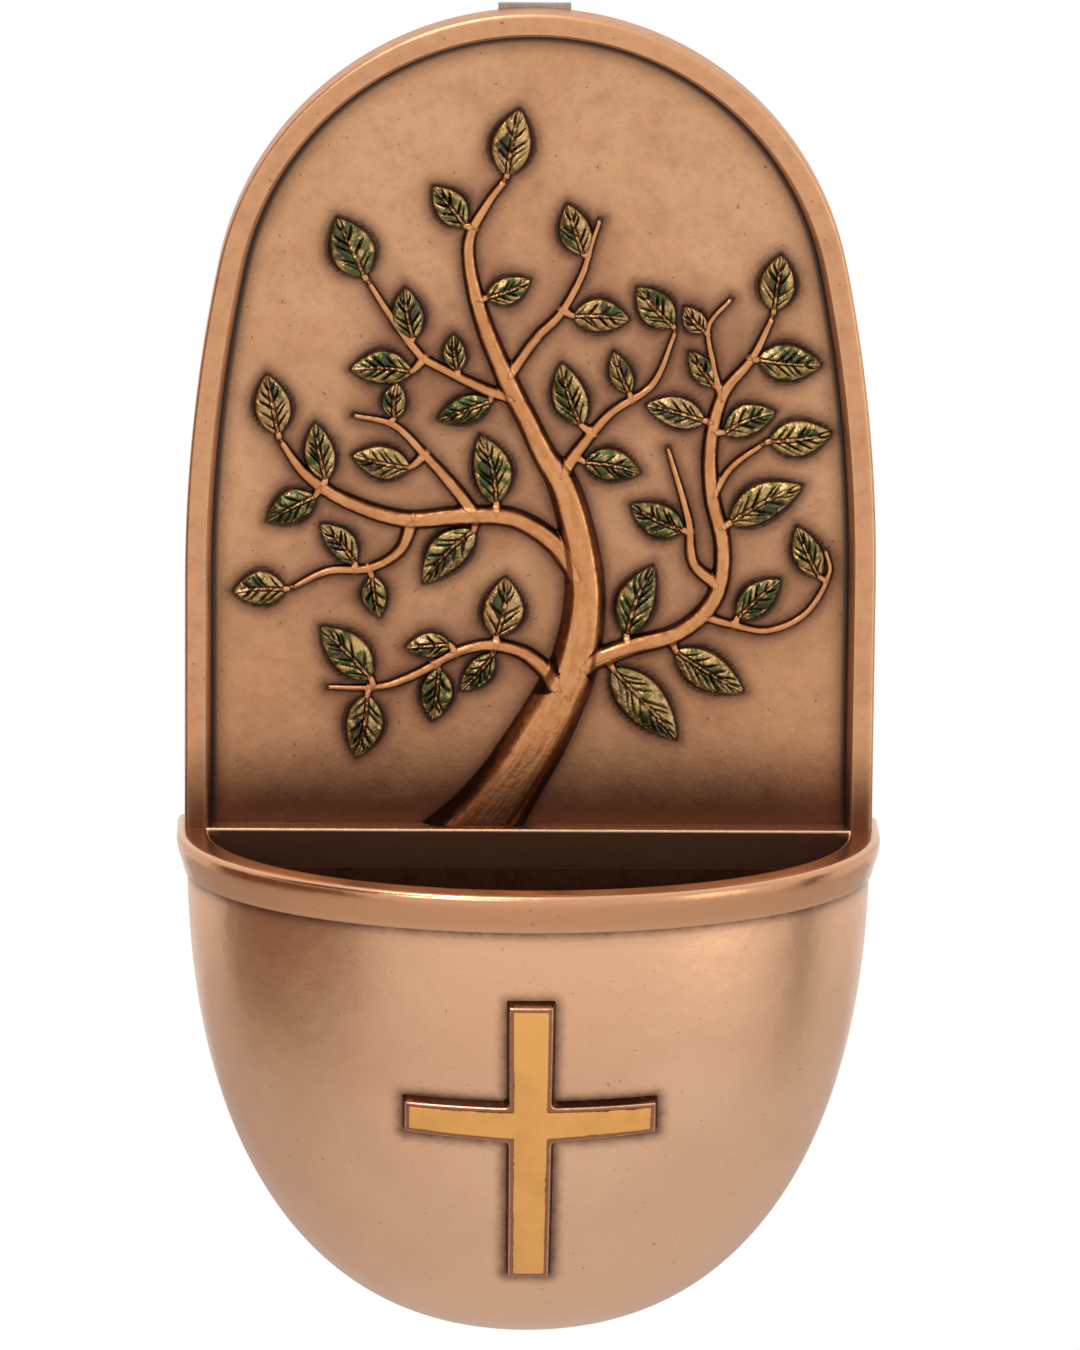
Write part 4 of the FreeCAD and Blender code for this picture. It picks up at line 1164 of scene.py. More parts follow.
    def build(self, material: Material) -> Object:
        """Build all leaves.

        Args:
            material: Their finish.

        Returns:
            The leaves' object.
        """
        chance = random.Random(self.seed)
        bm = blank("crease", "rib", "rim", "tint", "deep")
        for leaf in LEAVES:
            self.leaf(bm, leaf, chance)
        weld(bm, 0.002)
        for face in bm.faces:
            if face.normal.y > 0.2:
                face.normal_flip()
        piece = to_object(bm, "leaf_blades", material, 70.0)
        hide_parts("leaves")
        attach(piece, Body.STOUP.value)
        return piece


# ------------------------------------------------------------------ back plate
@dataclass
class BackPlate:
    """The arched casting: panel, raised border, ledge and tongue."""

    place: Place
    half_width: float = 44.0
    crown_radius: float = 40.6
    crown_height: float = 65.0
    flank_height: float = 32.0
    border: float = 2.9
    draft: float = 0.7
    face: float = -7.5
    panel: float = -4.2
    back: float = -2.5
    tongue_front: float = -5.2
    tongue_drop: float = 24.0
    tongue_half: float = 40.47
    tongue_form: float = 62.1
    fullness: float = 2.35
    inner_round: float = 0.3
    outer_round: float = 0.55
    tongue_round: float = 0.22
    # Band at the ledge's top that is bright from rubbing and a painted highlight.
    worn: float = 0.25
    foot_fade: float = 1.6
    crowded: float = 420.0
    crowd_reach: float = 5.0
    pitch: float = 0.5
    columns: int = 200
    rear_columns: int = 40
    tongue_columns: int = 60
    tongue_rows: int = 24

    def stations(self) -> list[Point]:
        """Stations of half the arch, from foot to crown, as z and turn."""
        rise = self.crown_height - self.flank_height
        found = [(step * self.pitch, 0.0) for step in range(round(self.flank_height / self.pitch))]
        joint = math.atan2(rise, self.flank_radius() - self.half_width)
        flank = round(self.flank_radius() * joint / self.pitch)
        found += [(self.flank_height, joint * step / flank) for step in range(flank)]
        crown = round(self.crown_radius * (QUARTER - joint) / self.pitch)
        found += [(self.crown_height, blend(joint, QUARTER, step / crown)) for step in range(crown + 1)]
        return found

    def flank_radius(self) -> float:
        """Radius of the long flanks."""
        rise = self.crown_height - self.flank_height
        square = self.half_width**2 + rise**2 - self.crown_radius**2
        return square / (2 * (self.half_width - self.crown_radius))

    def outline(self, station: Point, inset: float) -> Point:
        """A point of the arch's right half, moved inwards.

        Args:
            station: The station's height and turn.
            inset: How far the point lies inside the arch.

        Returns:
            The point's x and z.
        """
        z, turn = station
        if z == self.crown_height:
            radius = self.crown_radius - inset
            return radius * math.cos(turn), z + radius * math.sin(turn)
        radius = self.flank_radius() - inset
        return (self.half_width - self.flank_radius() + radius * math.cos(turn),
                z + radius * math.sin(turn))

    def profile(self) -> list[Triple]:
        """The border's section from the panel to the back: inset, y, and rubbing with a painted highlight."""
        foot, inner, outer = self.border + self.draft, self.inner_round, self.outer_round
        section = [(foot, self.panel, 0.0), (foot - 0.1, self.panel - 0.06, 0.0),
                   (foot - 0.2, self.panel - 0.3, 0.0), (self.border + 0.12, self.face + 0.45, 0.0)]
        for step, sine, _ in quarter(4):
            section.append((self.border + 0.06 - inner * sine, self.face + inner * (1 - sine),
                            1.0 - abs(step - 2) / 3))
        for step in range(1, 5):
            section.append((blend(self.border + 0.06 - inner, outer, step / 5), self.face, 0.0))
        for step, sine, cosine in quarter(5):
            section.append((outer * (1 - sine), self.face + outer * (1 - cosine), 1.0 - abs(step - 2.5) / 3))
        return section + [(0.0, self.tongue_front, 0.0), (0.0, self.back - 0.2, 0.0), (0.2, self.back, 0.0)]

    def build(self, material: Material, relief: Iterable[Point]) -> Object:
        """Build the plate.

        Args:
            material: Its finish.
            relief: Points of the tree and leaves on the panel.

        Returns:
            The plate's object.
        """
        bm = blank("gap", "crowd_shade", "edge", "wear", "frame")
        finder = plan_finder(relief)
        stations, section = self.stations(), self.profile()
        last = len(stations) - 1
        foot = section[0][0]

        def panel(column: int, row: int) -> Point:
            """A point of the panel."""
            x, z = self.outline(stations[row], foot)
            return x * across(column, self.columns), z

        def panel_marks(column: int, row: int) -> dict[str, float]:
            """Distance to the relief, crowding, which the finish paints as shade, and distance to the border.
            """
            x, z = panel(column, row)
            gap = finder.find((x, z, 0.0))[2]
            crowd_shade = len(finder.find_range((x, z, 0.0), self.crowd_reach)) if gap < self.crowd_reach else 0
            edge_x, _ = self.outline(stations[row], foot)
            edge = edge_x - abs(x)
            if stations[row][0] == self.crown_height:
                edge = self.crown_radius - foot - math.hypot(x, z - self.crown_height)
            return {"gap": min(gap, FAR), "crowd_shade": min(crowd_shade / self.crowded, 1.0), "edge": min(edge, FAR)}

        surface(bm, self.columns, last, lambda c, r: self.place(panel(c, r)[0], self.panel, panel(c, r)[1]),
                panel_marks)

        def border(column: int, row: int) -> Vector:
            """A point of the border."""
            side = 1 if column <= last else -1
            station = stations[column if column <= last else 2 * last - column]
            inset, y, _ = section[row]
            x, z = self.outline(station, inset)
            return self.place(side * x, y, z)

        def border_marks(column: int, row: int) -> dict[str, float]:
            """Patina and painted shade at the border's foot, and bright edges from rubbing with a painted
            highlight.
            """
            _, y, wear = section[row]
            edge = clamp((self.panel - y) / (self.panel - self.face)) * self.foot_fade if row < 5 else FAR
            return {"gap": FAR, "edge": edge, "wear": wear, "frame": 1.0 if row > 3 else 0.0}

        surface(bm, 2 * last, len(section) - 1, border, border_marks)
        back_inset = section[-1][0]

        def rear(column: int, row: int) -> Vector:
            """A point of the plate's back."""
            x, z = self.outline(stations[row], back_inset)
            return self.place(x * across(column, self.rear_columns), self.back, z)

        surface(bm, self.rear_columns, last, rear, lambda c, r: {"gap": FAR, "edge": FAR})
        weld(bm)
        fill_holes(bm)
        self.tongue(bm)
        bmesh.ops.recalc_face_normals(bm, faces=bm.faces)
        piece = to_object(bm, "back_plate_casting", material)
        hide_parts("back_plate")
        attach(piece, Body.STOUP.value)
        return piece

    def tongue(self, bm: BMesh) -> None:
        """Add the ledge and the tongue that reaches down behind the bowl's back wall.

        Args:
            bm: The plate's mesh.
        """
        def front(column: int, row: int) -> Vector:
            """A point of the tongue's front."""
            z = -self.tongue_drop * row / self.tongue_rows
            half = self.tongue_half * (1 - (abs(z) / self.tongue_form) ** self.fullness) ** (1 / self.fullness)
            return self.place(half * across(column, self.tongue_columns), self.tongue_front, z)

        part = blank("gap", "crowd_shade", "edge", "wear", "frame")
        verts = surface(part, self.tongue_columns, self.tongue_rows, front,
                        lambda c, r: {"gap": FAR, "edge": FAR})
        grown = bmesh.ops.extrude_face_region(part, geom=list(part.faces) + list(part.edges) + verts)["geom"]
        moved = [item for item in grown if isinstance(item, BMVert)]
        bmesh.ops.translate(part, verts=moved, vec=(0, (self.back - self.tongue_front) * MM, 0))
        weld(part)
        top = self.place(0, 0, 0).z
        lips = [edge for edge in part.edges if edge.calc_face_angle(0.0) > 1.0
                and all(abs(vert.co.z - top) < SAME and abs(vert.co.y - self.tongue_front * MM) < SAME
                        for vert in edge.verts)]
        round_off(part, lips, self.tongue_round)
        # The ledge's top edge is bright from rubbing and a painted highlight.
        for vert in part.verts:
            vert[layer(part, "wear")] = 1.0 if top - vert.co.z < self.worn * MM else 0.0
        mesh = bpy.data.meshes.new("tongue")
        part.to_mesh(mesh)
        part.free()
        bm.from_mesh(mesh)
        bpy.data.meshes.remove(mesh)


# ------------------------------------------------------------------ bowl
@dataclass
class Bowl:
    """The half bowl: skin, banded rim, mouth, seat, cavity, back wall and rear hollow."""

    place: Place
    rim_half: float = 45.0
    rim_reach: float = 35.0
    overhang: float = 1.3
    drop: float = 65.3
    fullness: float = 2.35
    wall: float = 3.2
    band: float = 5.0
    flare: float = 0.9
    rim_round: float = 0.9
    rim_width: float = 4.2
    lip_round: float = 0.9
    seat_drop: float = 5.0
    seat_width: float = 1.6
    seat_height: float = 3.0
    front: float = -7.5
    wall_back: float = -5.2
    nook: float = 1.9
    swell: float = 0.86
    wall_round: float = 0.25
    halo_top: float = -8.0
    halo_depth: float = 15.0
    skin_rows: int = 110
    cavity_rows: int = 40
    arc_columns: int = 220
    side_columns: int = 6
    edge_columns: int = 2
    hollow_columns: int = 3
    wall_columns: int = 60

    def breadth(self, z: float, depth: float) -> float:
        """Width of an oval of a depth at a height, as a share of its mouth's."""
        share = min(abs(z) / depth, 1.0)
        return (1 - share**self.fullness) ** (1 / self.fullness)

    def face(self, x: float, z: float) -> float:
        """The y of the bowl's outer skin at x and z."""
        half, reach = self.rim_half - self.overhang, self.rim_reach - self.overhang
        wide = self.breadth(z, self.drop)
        return self.front - reach * math.sqrt(max(wide**2 - (x / half) ** 2, 0.0))

    def oval(self, turn: float, depth: float, half: float, reach: float, **marks: float) -> Row:
        """A row of an oval of some depth and half axes.

        Args:
            turn: Place on the oval, from 0 at its mouth to a quarter turn at its lowest point.
            depth: Its depth.
            half: Half of its mouth's width.
            reach: Its mouth's reach from the wall.
            marks: Numbers that the finish reads there.

        Returns:
            The row's height, half axes and marks.
        """
        power = 2 / self.fullness
        wide = max(math.cos(turn), 0.0) ** power if turn < QUARTER - EXACT else 0.0
        return {"z": -depth * math.sin(turn) ** power, "half": half * wide, "reach": reach * wide, **marks}

    def mouth_turn(self, z: float, depth: float) -> float:
        """Place on an oval of a depth at a height."""
        return math.asin((-z / depth) ** (self.fullness / 2))

    def level(self, inset: float, z: float, **marks: float) -> Row:
        """A row at a height, inset from the rim's widest line, with some marks."""
        return {"z": z, "half": self.rim_half - inset, "reach": self.rim_reach - inset, **marks}

    def outer_rows(self) -> list[Row]:
        """Rows of the outside, from the lowest point to the rim's flat top."""
        half, reach = self.rim_half - self.overhang, self.rim_reach - self.overhang
        low, limit = -self.band, self.mouth_turn(-self.band, self.drop)
        rows: list[Row] = []
        # The skin's rows get nook, patina with painted shade, fading down from under the band.
        for step in range(self.skin_rows + 1):
            row = self.oval(blend(QUARTER, limit, step / self.skin_rows), self.drop, half, reach)
            rows.append({**row, "nook": max(0.0, 1.0 - (low - row["z"]) / self.nook) ** 2})
        # Rows of the band's step: nook is patina with painted shade under it, the last number rubbing with a
        # painted highlight.
        for inset, z, nook, wear in ((self.flare + 0.28, low - 0.02, 1.0, 0.0),
                                     (self.flare + 0.08, low + 0.06, 0.5, 0.2),
                                     (self.flare, low + 0.26, 0.1, 0.5),
                                     (self.flare * self.swell, low + 0.8, 0.0, 0.1)):
            rows.append(self.level(inset, z, nook=nook, rim=1.0, wear=wear))
        for step, sine, _ in quarter(8, 1):
            rows.append(self.level(self.flare * self.swell * (1 - sine**1.2),
                                   blend(low + 0.8, -self.rim_round, step / 8), rim=1.0))
        # The rim's outer top edge is bright from rubbing and a painted highlight.
        for step, sine, cosine in quarter(7, 1):
            rows.append(self.level(self.rim_round * (1 - cosine), self.rim_round * (sine - 1), rim=1.0,
                                   wear=max(0.0, 1 - abs(step - 5) / 3)))
        edge = self.rim_width - self.lip_round
        return rows + [self.level(blend(self.rim_round, edge, step / 4), 0.0, rim=1.0) for step in range(1, 5)]

    def inner_rows(self) -> list[Row]:
        """Rows of the inside, from the rim's top to the lowest point of the cavity."""
        edge = self.rim_width - self.lip_round
        rows = [self.level(edge + self.lip_round * sine, self.lip_round * (cosine - 1), rim=1.0,
                           inside=max(0.0, (step - 4) / 4) * 0.7) for step, sine, cosine in quarter(8)]
        seat = self.rim_width + self.seat_width
        low = -self.seat_drop - self.seat_height
        rows += [self.level(inset, z, inside=1.0) for inset, z in (
            (self.rim_width, -2.2), (self.rim_width, -self.seat_drop), (seat, -self.seat_drop), (seat, low))]
        half = self.rim_half - self.overhang - self.wall
        reach, depth = self.rim_reach - self.overhang - self.wall, self.drop - self.wall
        start, last = self.mouth_turn(low, depth), self.cavity_rows
        return rows + [self.oval(blend(start, QUARTER, step / last), depth, half, reach, inside=1.0)
                       for step in range(last + 1)]

    def ring(self, row: Row, column: int, sides: bool) -> Vector:
        """A point of a row: straight sides against the wall, then half an ellipse.

        Args:
            row: The row's height and half axes.
            column: The column, from right to left.
            sides: Whether the columns have the straight sides.

        Returns:
            The point, in the frame's metres.
        """
        extra = self.side_columns if sides else 0
        x, y = row["half"], 0.0
        if column < extra:
            y = blend(0.0, self.front, column / extra)
        elif column > extra + self.arc_columns:
            x, y = -x, blend(self.front, 0.0, (column - extra - self.arc_columns) / extra)
        else:
            turn = math.pi * (column - extra) / self.arc_columns
            x, y = row["half"] * math.cos(turn), self.front - row["reach"] * math.sin(turn)
        return self.place(x, y, row["z"])

    def build(self, material: Material, cross: "Cross") -> Object:
        """Build the bowl.

        Args:
            material: Its finish.
            cross: The cross, which leaves patina and a painted shadow round itself.

        Returns:
            The bowl's object.
        """
        names = ("gap", "nook", "rim", "inside", "wear")
        bm = blank(*names)
        outer, inner = self.outer_rows(), self.inner_rows()

        def marks(rows: list[Row]) -> Marks:
            """Numbers that the finish reads on some rows."""
            return lambda column, row: {name: rows[row].get(name, 0.0) for name in names[1:]}

        surface(bm, self.arc_columns + 2 * self.side_columns, len(outer) - 1,
                lambda c, r: self.ring(outer[r], c, True), marks(outer))
        surface(bm, self.arc_columns, len(inner) - 1, lambda c, r: self.ring(inner[r], c, False), marks(inner))
        self.back_wall(bm, inner)
        self.rear(bm, outer)
        gap = layer(bm, "gap")
        for vert in bm.verts:
            x, y, z = vert.co.x / MM, vert.co.y / MM, self.place.height(vert.co.z)
            # Distance to the cross, for its patina and painted shadow on the bowl.
            near = y < self.front - self.halo_depth and z < self.halo_top
            vert[gap] = min(cross.distance(x, z), FAR) if near else FAR
        weld(bm)
        piece = to_object(bm, "bowl_casting", material)
        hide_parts("bowl")
        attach(piece, Body.STOUP.value)
        return piece

    def back_wall(self, bm: BMesh, inner: list[Row]) -> None:
        """Add the back wall's top and its face in the cavity.

        Args:
            bm: The bowl's mesh.
            inner: The rows of the inside.
        """
        rows = [(self.wall_back, 0.0, self.rim_half - self.overhang - self.wall, 0.0, 0.0)]
        # The back wall's rounded top edge is bright from rubbing and a painted highlight.
        for _, sine, cosine in quarter(4):
            rows.append((self.front + self.wall_round * (1 - sine), self.wall_round * (cosine - 1),
                         inner[0]["half"], 1.0, 0.1))
        rows += [(self.front, row["z"], row["half"], 0.0, 1.0) for row in inner if row["z"] < -0.3]

        def point(column: int, row: int) -> Vector:
            """A point of the back wall."""
            y, z, half, _, _ = rows[row]
            return self.place(half * across(column, self.wall_columns), y, z)

        surface(bm, self.wall_columns, len(rows) - 1, point,
                lambda c, r: {"wear": rows[r][3], "inside": rows[r][4], "rim": 1.0 - rows[r][4]})

    def rear(self, bm: BMesh, outer: list[Row]) -> None:
        """Add the edge on the wall, the rear hollow and the back wall's rear face.

        Args:
            bm: The bowl's mesh.
            outer: The rows of the outside.
        """
        depth = self.drop - self.wall
        base = self.rim_half - self.overhang - self.wall
        inner = [base * self.breadth(row["z"], depth) if row["z"] > -depth else 0.0 for row in outer]
        last, top = len(outer) - 1, outer[-1]["half"]
        flat, deep, wide = self.edge_columns, self.hollow_columns, self.wall_columns

        def marks(_: int, row: int) -> dict[str, float]:
            """The band's own tone, on the rows of the band."""
            return {"rim": outer[row].get("rim", 0.0)}

        def low(row: int) -> float:
            """Height of a row, kept above the hollow's lowest point."""
            return max(outer[row]["z"], -depth)

        for side in (1, -1):
            surface(bm, flat, last, lambda c, r: self.place(side * blend(outer[r]["half"], inner[r], c / flat),
                                                            0.0, outer[r]["z"]), marks)
            surface(bm, deep, last, lambda c, r: self.place(side * inner[r], self.wall_back * c / deep, low(r)),
                    marks)
        surface(bm, wide, last, lambda c, r: self.place(inner[r] * across(c, wide), self.wall_back, low(r)),
                marks)
        for side in (1, -1):
            surface(bm, flat, deep, lambda c, r: self.place(side * blend(top, base, c / flat),
                                                            self.wall_back * r / deep, 0.0),
                    lambda c, r: {"rim": 1.0})


# ------------------------------------------------------------------ cross
@dataclass
class Cross:
    """The bronze cross on the bowl and its gilded face."""

    place: Place
    top_drop: float = 14.4
    height: float = 38.0
    arm_drop: float = 15.8
    arm_lift: float = 0.5
    half_span: float = 15.8
    top_width: float = 5.6
    foot_width: float = 5.1
    arm_width: float = 4.1
    arm_root: float = 4.7
    relief: float = 1.6
    gilding: float = 0.2
    inset: float = 0.6
    fillet: float = 0.8
    draft: float = 0.1
    flare: float = 0.3
    rake: float = 0.35
    sunk: float = 0.15
    foot_round: float = 0.3
    tip_round: float = 0.12
    front_round: float = 0.2
    gilt_fillet: float = 0.3
    gilt_tips: float = 0.2
    gilt_round: float = 0.08
    gilt_sunk: float = 0.1
    rub_highlight_drop: float = 0.1
    rub_highlight_band: float = 0.13
    side_drop: float = 0.12
    side_band: float = 0.3
    crease: float = 40.0
    cell: float = 0.6

    def corners(self, inset: float) -> list[Point]:
        """The outline's twelve corners, anticlockwise from the upper right.

        Args:
            inset: How far the outline is moved inwards.

        Returns:
            The corners as x and z.
        """
        top, foot = -self.top_drop - inset, -self.top_drop - self.height + inset
        arm = -self.top_drop - self.arm_drop
        end = arm + self.arm_lift
        tip, root = self.arm_width / 2 - inset, self.arm_root / 2 - inset
        span, share = self.half_span - inset, self.arm_drop / self.height
        top_half, foot_half = self.top_width / 2 - inset, self.foot_width / 2 - inset
        waist = blend(top_half, foot_half, share)
        right = [(top_half, top), (waist, arm + root), (span, end + tip), (span, end - tip),
                 (waist, arm - root), (foot_half, foot)]
        return right + [(-x, z) for x, z in reversed(right)]

    def outline(self, inset: float, fillet: float, tips: float) -> list[Point]:
        """The outline with rounded corners.

        Args:
            inset: How far it is moved inwards.
            fillet: Rounding of the four inner corners.
            tips: Rounding of the eight outer corners.

        Returns:
            Points round the outline.
        """
        corners = self.corners(inset)
        found: list[Point] = []
        for index, corner in enumerate(corners):
            before, after = corners[index - 1], corners[(index + 1) % len(corners)]
            radius = fillet if index in (1, 4, 7, 10) else tips
            first = self.towards(corner, before, radius)
            last = self.towards(corner, after, radius)
            for step in range(5):
                t = step / 4
                found.append(tuple((1 - t) ** 2 * a + 2 * t * (1 - t) * c + t**2 * b
                                   for a, c, b in zip(first, corner, last)))
        return found

    @staticmethod
    def towards(start: Point, end: Point, length: float) -> Point:
        """The point at a distance from start on the way to end."""
        share = length / math.dist(start, end)
        return blend(start[0], end[0], share), blend(start[1], end[1], share)

    def distance(self, x: float, z: float) -> float:
        """Distance from a point to the cross's outline, 0 inside it.

        Args:
            x: The point's place to the right.
            z: The point's height over the seam.

        Returns:
            The distance, in millimetres.
        """
        arm = -self.top_drop - self.arm_drop + self.arm_lift * abs(x) / self.half_span
        bars = ((0.0, -self.top_drop - self.height / 2, self.top_width / 2 - 0.1, self.height / 2),
                (0.0, arm, self.half_span, self.arm_root / 2 - 0.1))
        return min(math.hypot(max(abs(x - cx) - half, 0.0), max(abs(z - cz) - tall, 0.0))
                   for cx, cz, half, tall in bars)

    def slab(self, points: list[Point], base: list[Point], low: float, high: float,
             front_round: float) -> BMesh:
        """A flat slab with flaring sides and a rounded front edge, cut into small cells.

        Args:
            points: The outline of its front.
            base: The outline of its back.
            low: Height of its back over the bowl.
            high: Height of its front over the bowl.
            front_round: Rounding of the front's edge.

        Returns:
            The slab, with heights along Y.
        """
        bm = blank("wear", "edge", "side")
        front = bm.faces.new([bm.verts.new((x * MM, high * MM, z * MM)) for x, z in points])
        grown = bmesh.ops.extrude_face_region(bm, geom=[front])["geom"]
        for vert in (item for item in grown if isinstance(item, BMVert)):
            spot = (vert.co.x / MM, vert.co.z / MM)
            x, z = base[min(range(len(points)), key=lambda index: math.dist(points[index], spot))]
            vert.co = Vector((x, low, z)) * MM
        bmesh.ops.recalc_face_normals(bm, faces=bm.faces)
        rim = [edge for edge in bm.edges if all(abs(v.co.y - high * MM) < SAME for v in edge.verts)]
        round_off(bm, rim, front_round)
        for axis, start, stop in ((Vector((1, 0, 0)), -self.half_span, self.half_span),
                                  (Vector((0, 0, 1)), -self.top_drop - self.height, -self.top_drop)):
            count = round((stop - start) / self.cell)
            for step in range(1, count):
                cut(bm, axis * (blend(start, stop, step / count) * MM), axis)
        return bm

    def lay(self, bm: BMesh, bowl: Bowl, name: str, material: Material) -> Object:
        """Lay a slab onto the bowl.

        Args:
            bm: The slab, with heights along Y.
            bowl: The bowl.
            name: Name of the object that it becomes.
            material: Its finish.

        Returns:
            The object.
        """
        for vert in bm.verts:
            x, z = vert.co.x / MM, vert.co.z / MM
            vert.co = self.place(x, bowl.face(x, z) - vert.co.y / MM, z)
        bmesh.ops.recalc_face_normals(bm, faces=bm.faces)
        return to_object(bm, name, material, self.crease)

    def build(self, bronze: Material, gilt: Material, bowl: Bowl) -> list[Object]:
        """Build the cross and its gilding.

        Args:
            bronze: The cross's finish.
            gilt: The gilding's finish.
            bowl: The bowl that carries them.

        Returns:
            The two objects.
        """
        base = [(x, z + self.rake) for x, z in self.outline(-self.flare, self.fillet, self.foot_round)]
        bm = self.slab(self.outline(self.draft, self.fillet, self.tip_round), base, -self.sunk, self.relief,
                       self.front_round)
        wear, side = layer(bm, "wear"), layer(bm, "side")
        # Marks of the bright front edge (rubbing with a painted highlight) and of the dark sides (patina with a
        # painted reflection).
        for vert in bm.verts:
            below = self.relief - vert.co.y / MM
            vert[wear] = max(0.0, 1.0 - abs(below - self.rub_highlight_drop) / self.rub_highlight_band)
            vert[side] = clamp((below - self.side_drop) / self.side_band)
        cross = self.lay(bm, bowl, "cross_casting", bronze)
        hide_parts("cross")
        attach(cross, Body.STOUP.value)
        points = self.outline(self.inset, self.gilt_fillet, self.gilt_tips)
        bm = self.slab(points, points, self.relief - self.gilt_sunk, self.relief + self.gilding,
                       self.gilt_round)
        edge = layer(bm, "edge")
        inner = self.corners(self.inset)
        for vert in bm.verts:
            x, z = vert.co.x / MM, vert.co.z / MM
            vert[edge] = min(self.segment(x, z, a, b) for a, b in zip(inner, inner[1:] + inner[:1]))
        gilding = self.lay(bm, bowl, "gilt_face", gilt)
        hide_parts("gilding")
        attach(gilding, Body.STOUP.value)
        return [cross, gilding]

    @staticmethod
    def segment(x: float, z: float, start: Point, end: Point) -> float:
        """Distance from a point to a straight edge.

        Args:
            x: The point's place to the right.
            z: The point's height.
            start: One end of the edge.
            end: Its other end.

        Returns:
            The distance, in millimetres.
        """
        run = (end[0] - start[0], end[1] - start[1])
        share = clamp(((x - start[0]) * run[0] + (z - start[1]) * run[1]) / (run[0] ** 2 + run[1] ** 2))
        return math.hypot(x - start[0] - run[0] * share, z - start[1] - run[1] * share)


# ------------------------------------------------------------------ fittings
@dataclass
class Fittings:
    """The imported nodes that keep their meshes: liner, hanger and screws."""

    nodes: dict[str, Object]

    def dress(self) -> None:
        """Give each fitting its metal."""
        liner = FittingMetal("liner_bronze", tone(88, 52, 34), tone(44, 25, 16), 0.42, 0.5)
        steel = FittingMetal("hanger_steel", tone(176, 176, 172), tone(120, 116, 110), 0.34, 0.12,
                             (1.0, 1.0, 0.06))
        brass = FittingMetal("screw_brass", tone(204, 170, 104), tone(128, 92, 50), 0.3, 0.2)
        for names, metal in ((("liner",), liner), (("hanger",), steel),
                             (tuple(n for n in self.nodes if "screw" in n), brass)):
            made = metal.material()
            for name in names:
                dress(self.nodes[name], made)


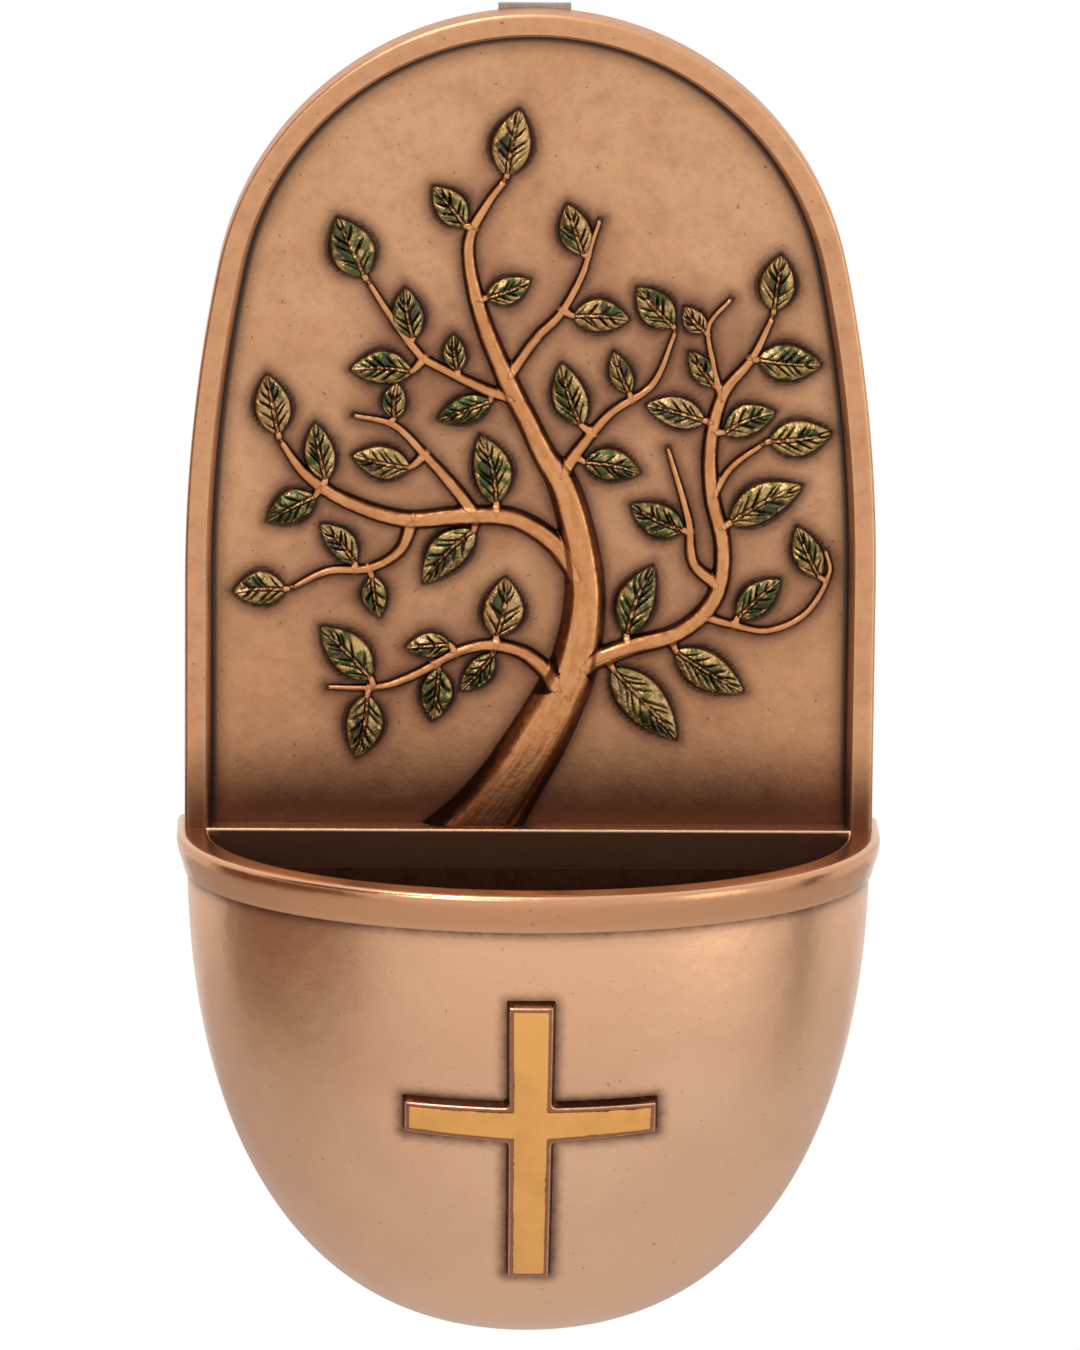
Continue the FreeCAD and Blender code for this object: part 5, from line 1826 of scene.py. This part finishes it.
# ------------------------------------------------------------------ studio
@dataclass
class Studio:
    """Camera, soft lamps, pale floor and a white surround."""

    place: Place
    azimuth: float = 1.0
    elevation: float = 13.1
    roll: float = 0.5
    distance: float = 1303.0
    lens: float = 270.8
    sensor: float = 36.0
    clip: Range = (0.05, 50.0)
    target: Triple = (1.43, 0.0, 18.56)
    lit: Triple = (0.0, -10.0, 20.0)
    mirrored: Triple = (0.0, -20.0, -25.0)
    floor_drop: float = 330.0
    floor_reach: float = 800.0
    card_distance: float = 800.0
    dim: float = 0.62
    fleck: float = 0.3

    def camera(self) -> None:
        """Set the camera at the eye's place, with a long lens."""
        az, el, roll = (math.radians(angle) for angle in (self.azimuth, self.elevation, self.roll))
        view = Vector((math.sin(az) * math.cos(el), math.cos(az) * math.cos(el), -math.sin(el)))
        right = Vector((math.cos(az), -math.sin(az), 0.0))
        up = right.cross(view)
        wide = right * math.cos(roll) + up * math.sin(roll)
        tall = up * math.cos(roll) - right * math.sin(roll)
        made = bpy.data.cameras.new("camera")
        made.lens, made.sensor_width, made.sensor_fit = self.lens, self.sensor, "AUTO"
        made.clip_start, made.clip_end = self.clip
        eye = bpy.data.objects.new("camera", made)
        bpy.context.scene.collection.objects.link(eye)
        turn = Matrix((wide, tall, -view)).transposed().to_4x4()
        eye.matrix_world = Matrix.Translation(self.place(*self.target) - view * (self.distance * MM)) @ turn
        bpy.context.scene.camera = eye

    def lamp(self, name: str, spot: Triple, width: float, tall: float, power: float) -> None:
        """Add a soft box that faces the stoup.

        Args:
            name: The lamp's name.
            spot: Where it is, in metres from the stoup's middle.
            width: Its width, in metres.
            tall: Its height, in metres.
            power: Its power, in watts.
        """
        made = bpy.data.lights.new(name, "AREA")
        made.shape, made.size, made.size_y, made.energy = "RECTANGLE", width, tall, power
        lamp = bpy.data.objects.new(name, made)
        bpy.context.scene.collection.objects.link(lamp)
        middle = self.place(*self.lit)
        lamp.location = middle + Vector(spot)
        lamp.rotation_euler = (middle - lamp.location).to_track_quat("-Z", "Y").to_euler()

    def world(self) -> None:
        """Set a white surround that the camera and the metal see, a little dimmer as light."""
        make = Graph(bpy.data.worlds.new("surround"), "ShaderNodeOutputWorld")
        camera, glossy, through = (make.node("ShaderNodeLightPath", {}, {}, f"Is {kind} Ray")
                                   for kind in ("Camera", "Glossy", "Transmission"))
        seen = make.math("MAXIMUM", camera, make.math("MAXIMUM", glossy, through))
        dim, white = (make.node("ShaderNodeBackground", {}, {"Color": WHITE, "Strength": strength})
                      for strength in (self.dim, 1.0))
        bpy.context.scene.world = make.close(make.node("ShaderNodeMixShader", {}, {0: seen, 1: dim, 2: white}))

    def matt(self, name: str, grain: float, shade: Colour, fleck: Colour) -> Material:
        """Make a matt material with soft flecks.

        Args:
            name: The material's name.
            grain: Size of the flecks, in millimetres.
            shade: Its colour.
            fleck: The flecks' colour.

        Returns:
            The material.
        """
        make = Shader(name)
        colour = make.mix(make.noise(grain, 2.0, 0.5) * self.fleck, shade, fleck)
        return make.close(make.node("ShaderNodeBsdfDiffuse", {}, {"Color": colour}, "BSDF"))

    def floor(self) -> None:
        """Lay a pale floor well below the stoup."""
        material = self.matt("pale_floor", 30.0, tone(236, 235, 233), tone(228, 227, 225))
        bm = blank()
        reach = self.floor_reach
        surface(bm, 8, 8, lambda c, r: self.place(across(c, 8) * reach, across(r, 8) * reach, -self.floor_drop))
        to_object(bm, "floor", material)

    def card(self, name: str, turn: float, lift: float, width: float, tall: float, shade: Colour) -> None:
        """Stand a card beside the stoup, whose metal mirrors it.

        Args:
            name: The card's name.
            turn: Its place to the right, in degrees from straight ahead of the stoup.
            lift: Its height, in degrees over the stoup.
            width: Its width, in millimetres.
            tall: Its height, in millimetres.
            shade: Its colour.
        """
        material = self.matt(f"{name}_card", 20.0, shade, tuple(channel * 0.8 for channel in shade))
        turn, lift = math.radians(turn), math.radians(lift)
        middle = self.place(*self.mirrored)
        away = Vector((math.sin(turn) * math.cos(lift), -math.cos(turn) * math.cos(lift), math.sin(lift)))
        right = away.cross(Vector((0, 0, 1))).normalized()
        up = right.cross(away)
        bm = blank()
        surface(bm, 4, 8, lambda c, r: middle + (away * self.card_distance + right * (width * (c / 4 - 0.5))
                                                 + up * (tall * (r / 8 - 0.5))) * MM)
        piece = to_object(bm, name, material)
        piece.visible_camera = False

    def build(self) -> None:
        """Set up the studio."""
        self.camera()
        self.world()
        self.floor()
        for card in (("left_card", -78.0, -14.0, 1000.0, 1100.0, tone(140, 88, 60)),
                     ("upper_card", -62.0, 42.0, 620.0, 460.0, tone(104, 60, 40)),
                     ("right_card", 92.0, -14.0, 190.0, 620.0, tone(20, 12, 8))):
            self.card(*card)
        for lamp in (("key", (-0.5, -1.1, 1.0), 0.45, 0.45, 8.0),
                     ("overhead", (-0.25, -0.25, 1.1), 0.3, 0.3, 3.0),
                     ("fill", (1.1, -0.9, 0.1), 0.5, 1.0, 2.0)):
            self.lamp(*lamp)
        bpy.context.scene.view_settings.view_transform = "Standard"


# ------------------------------------------------------------------ main
def relief_points(tree: Tree, foliage: Foliage) -> list[Point]:
    """Points of the tree's and the leaves' plan, for the patina and the painted shade round them.

    Args:
        tree: The tree, after its build.
        foliage: The leaves, after their build.

    Returns:
        Points as x and z, less than half a millimetre apart.
    """
    found = list(foliage.plan)
    for spot in tree.samples:
        steps = max(4, round(spot.width / 0.4))
        offsets = [spot.width * (step / steps - 0.5) for step in range(steps + 1)]
        found += [(spot.x + spot.across_x * offset, spot.z + spot.across_z * offset) for offset in offsets]
    return found


def main() -> None:
    """Build the stoup's looks in order and report each piece."""
    logging.basicConfig(level=logging.INFO, format="%(message)s")
    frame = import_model()
    place = Place(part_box("bowl")[1].z)
    studio = Studio(place)
    studio.build()
    tree, foliage, plate = Tree(place), Foliage(place), BackPlate(place)
    bowl, cross = Bowl(place), Cross(place)
    pieces = [tree.build(TreeBronze().material(place.seam)), foliage.build(LeafLacquer().material())]
    pieces.append(plate.build(PlateBronze().material(place.seam), relief_points(tree, foliage)))
    pieces.append(bowl.build(BowlBronze().material(place.seam), cross))
    pieces += cross.build(CrossBronze().material(), GiltFace().material(), bowl)
    Fittings(frame["nodes"]).dress()
    for piece in pieces:
        LOG.info("%s: %d faces", piece.name, len(piece.data.polygons))


if __name__ == "__main__":
    main()
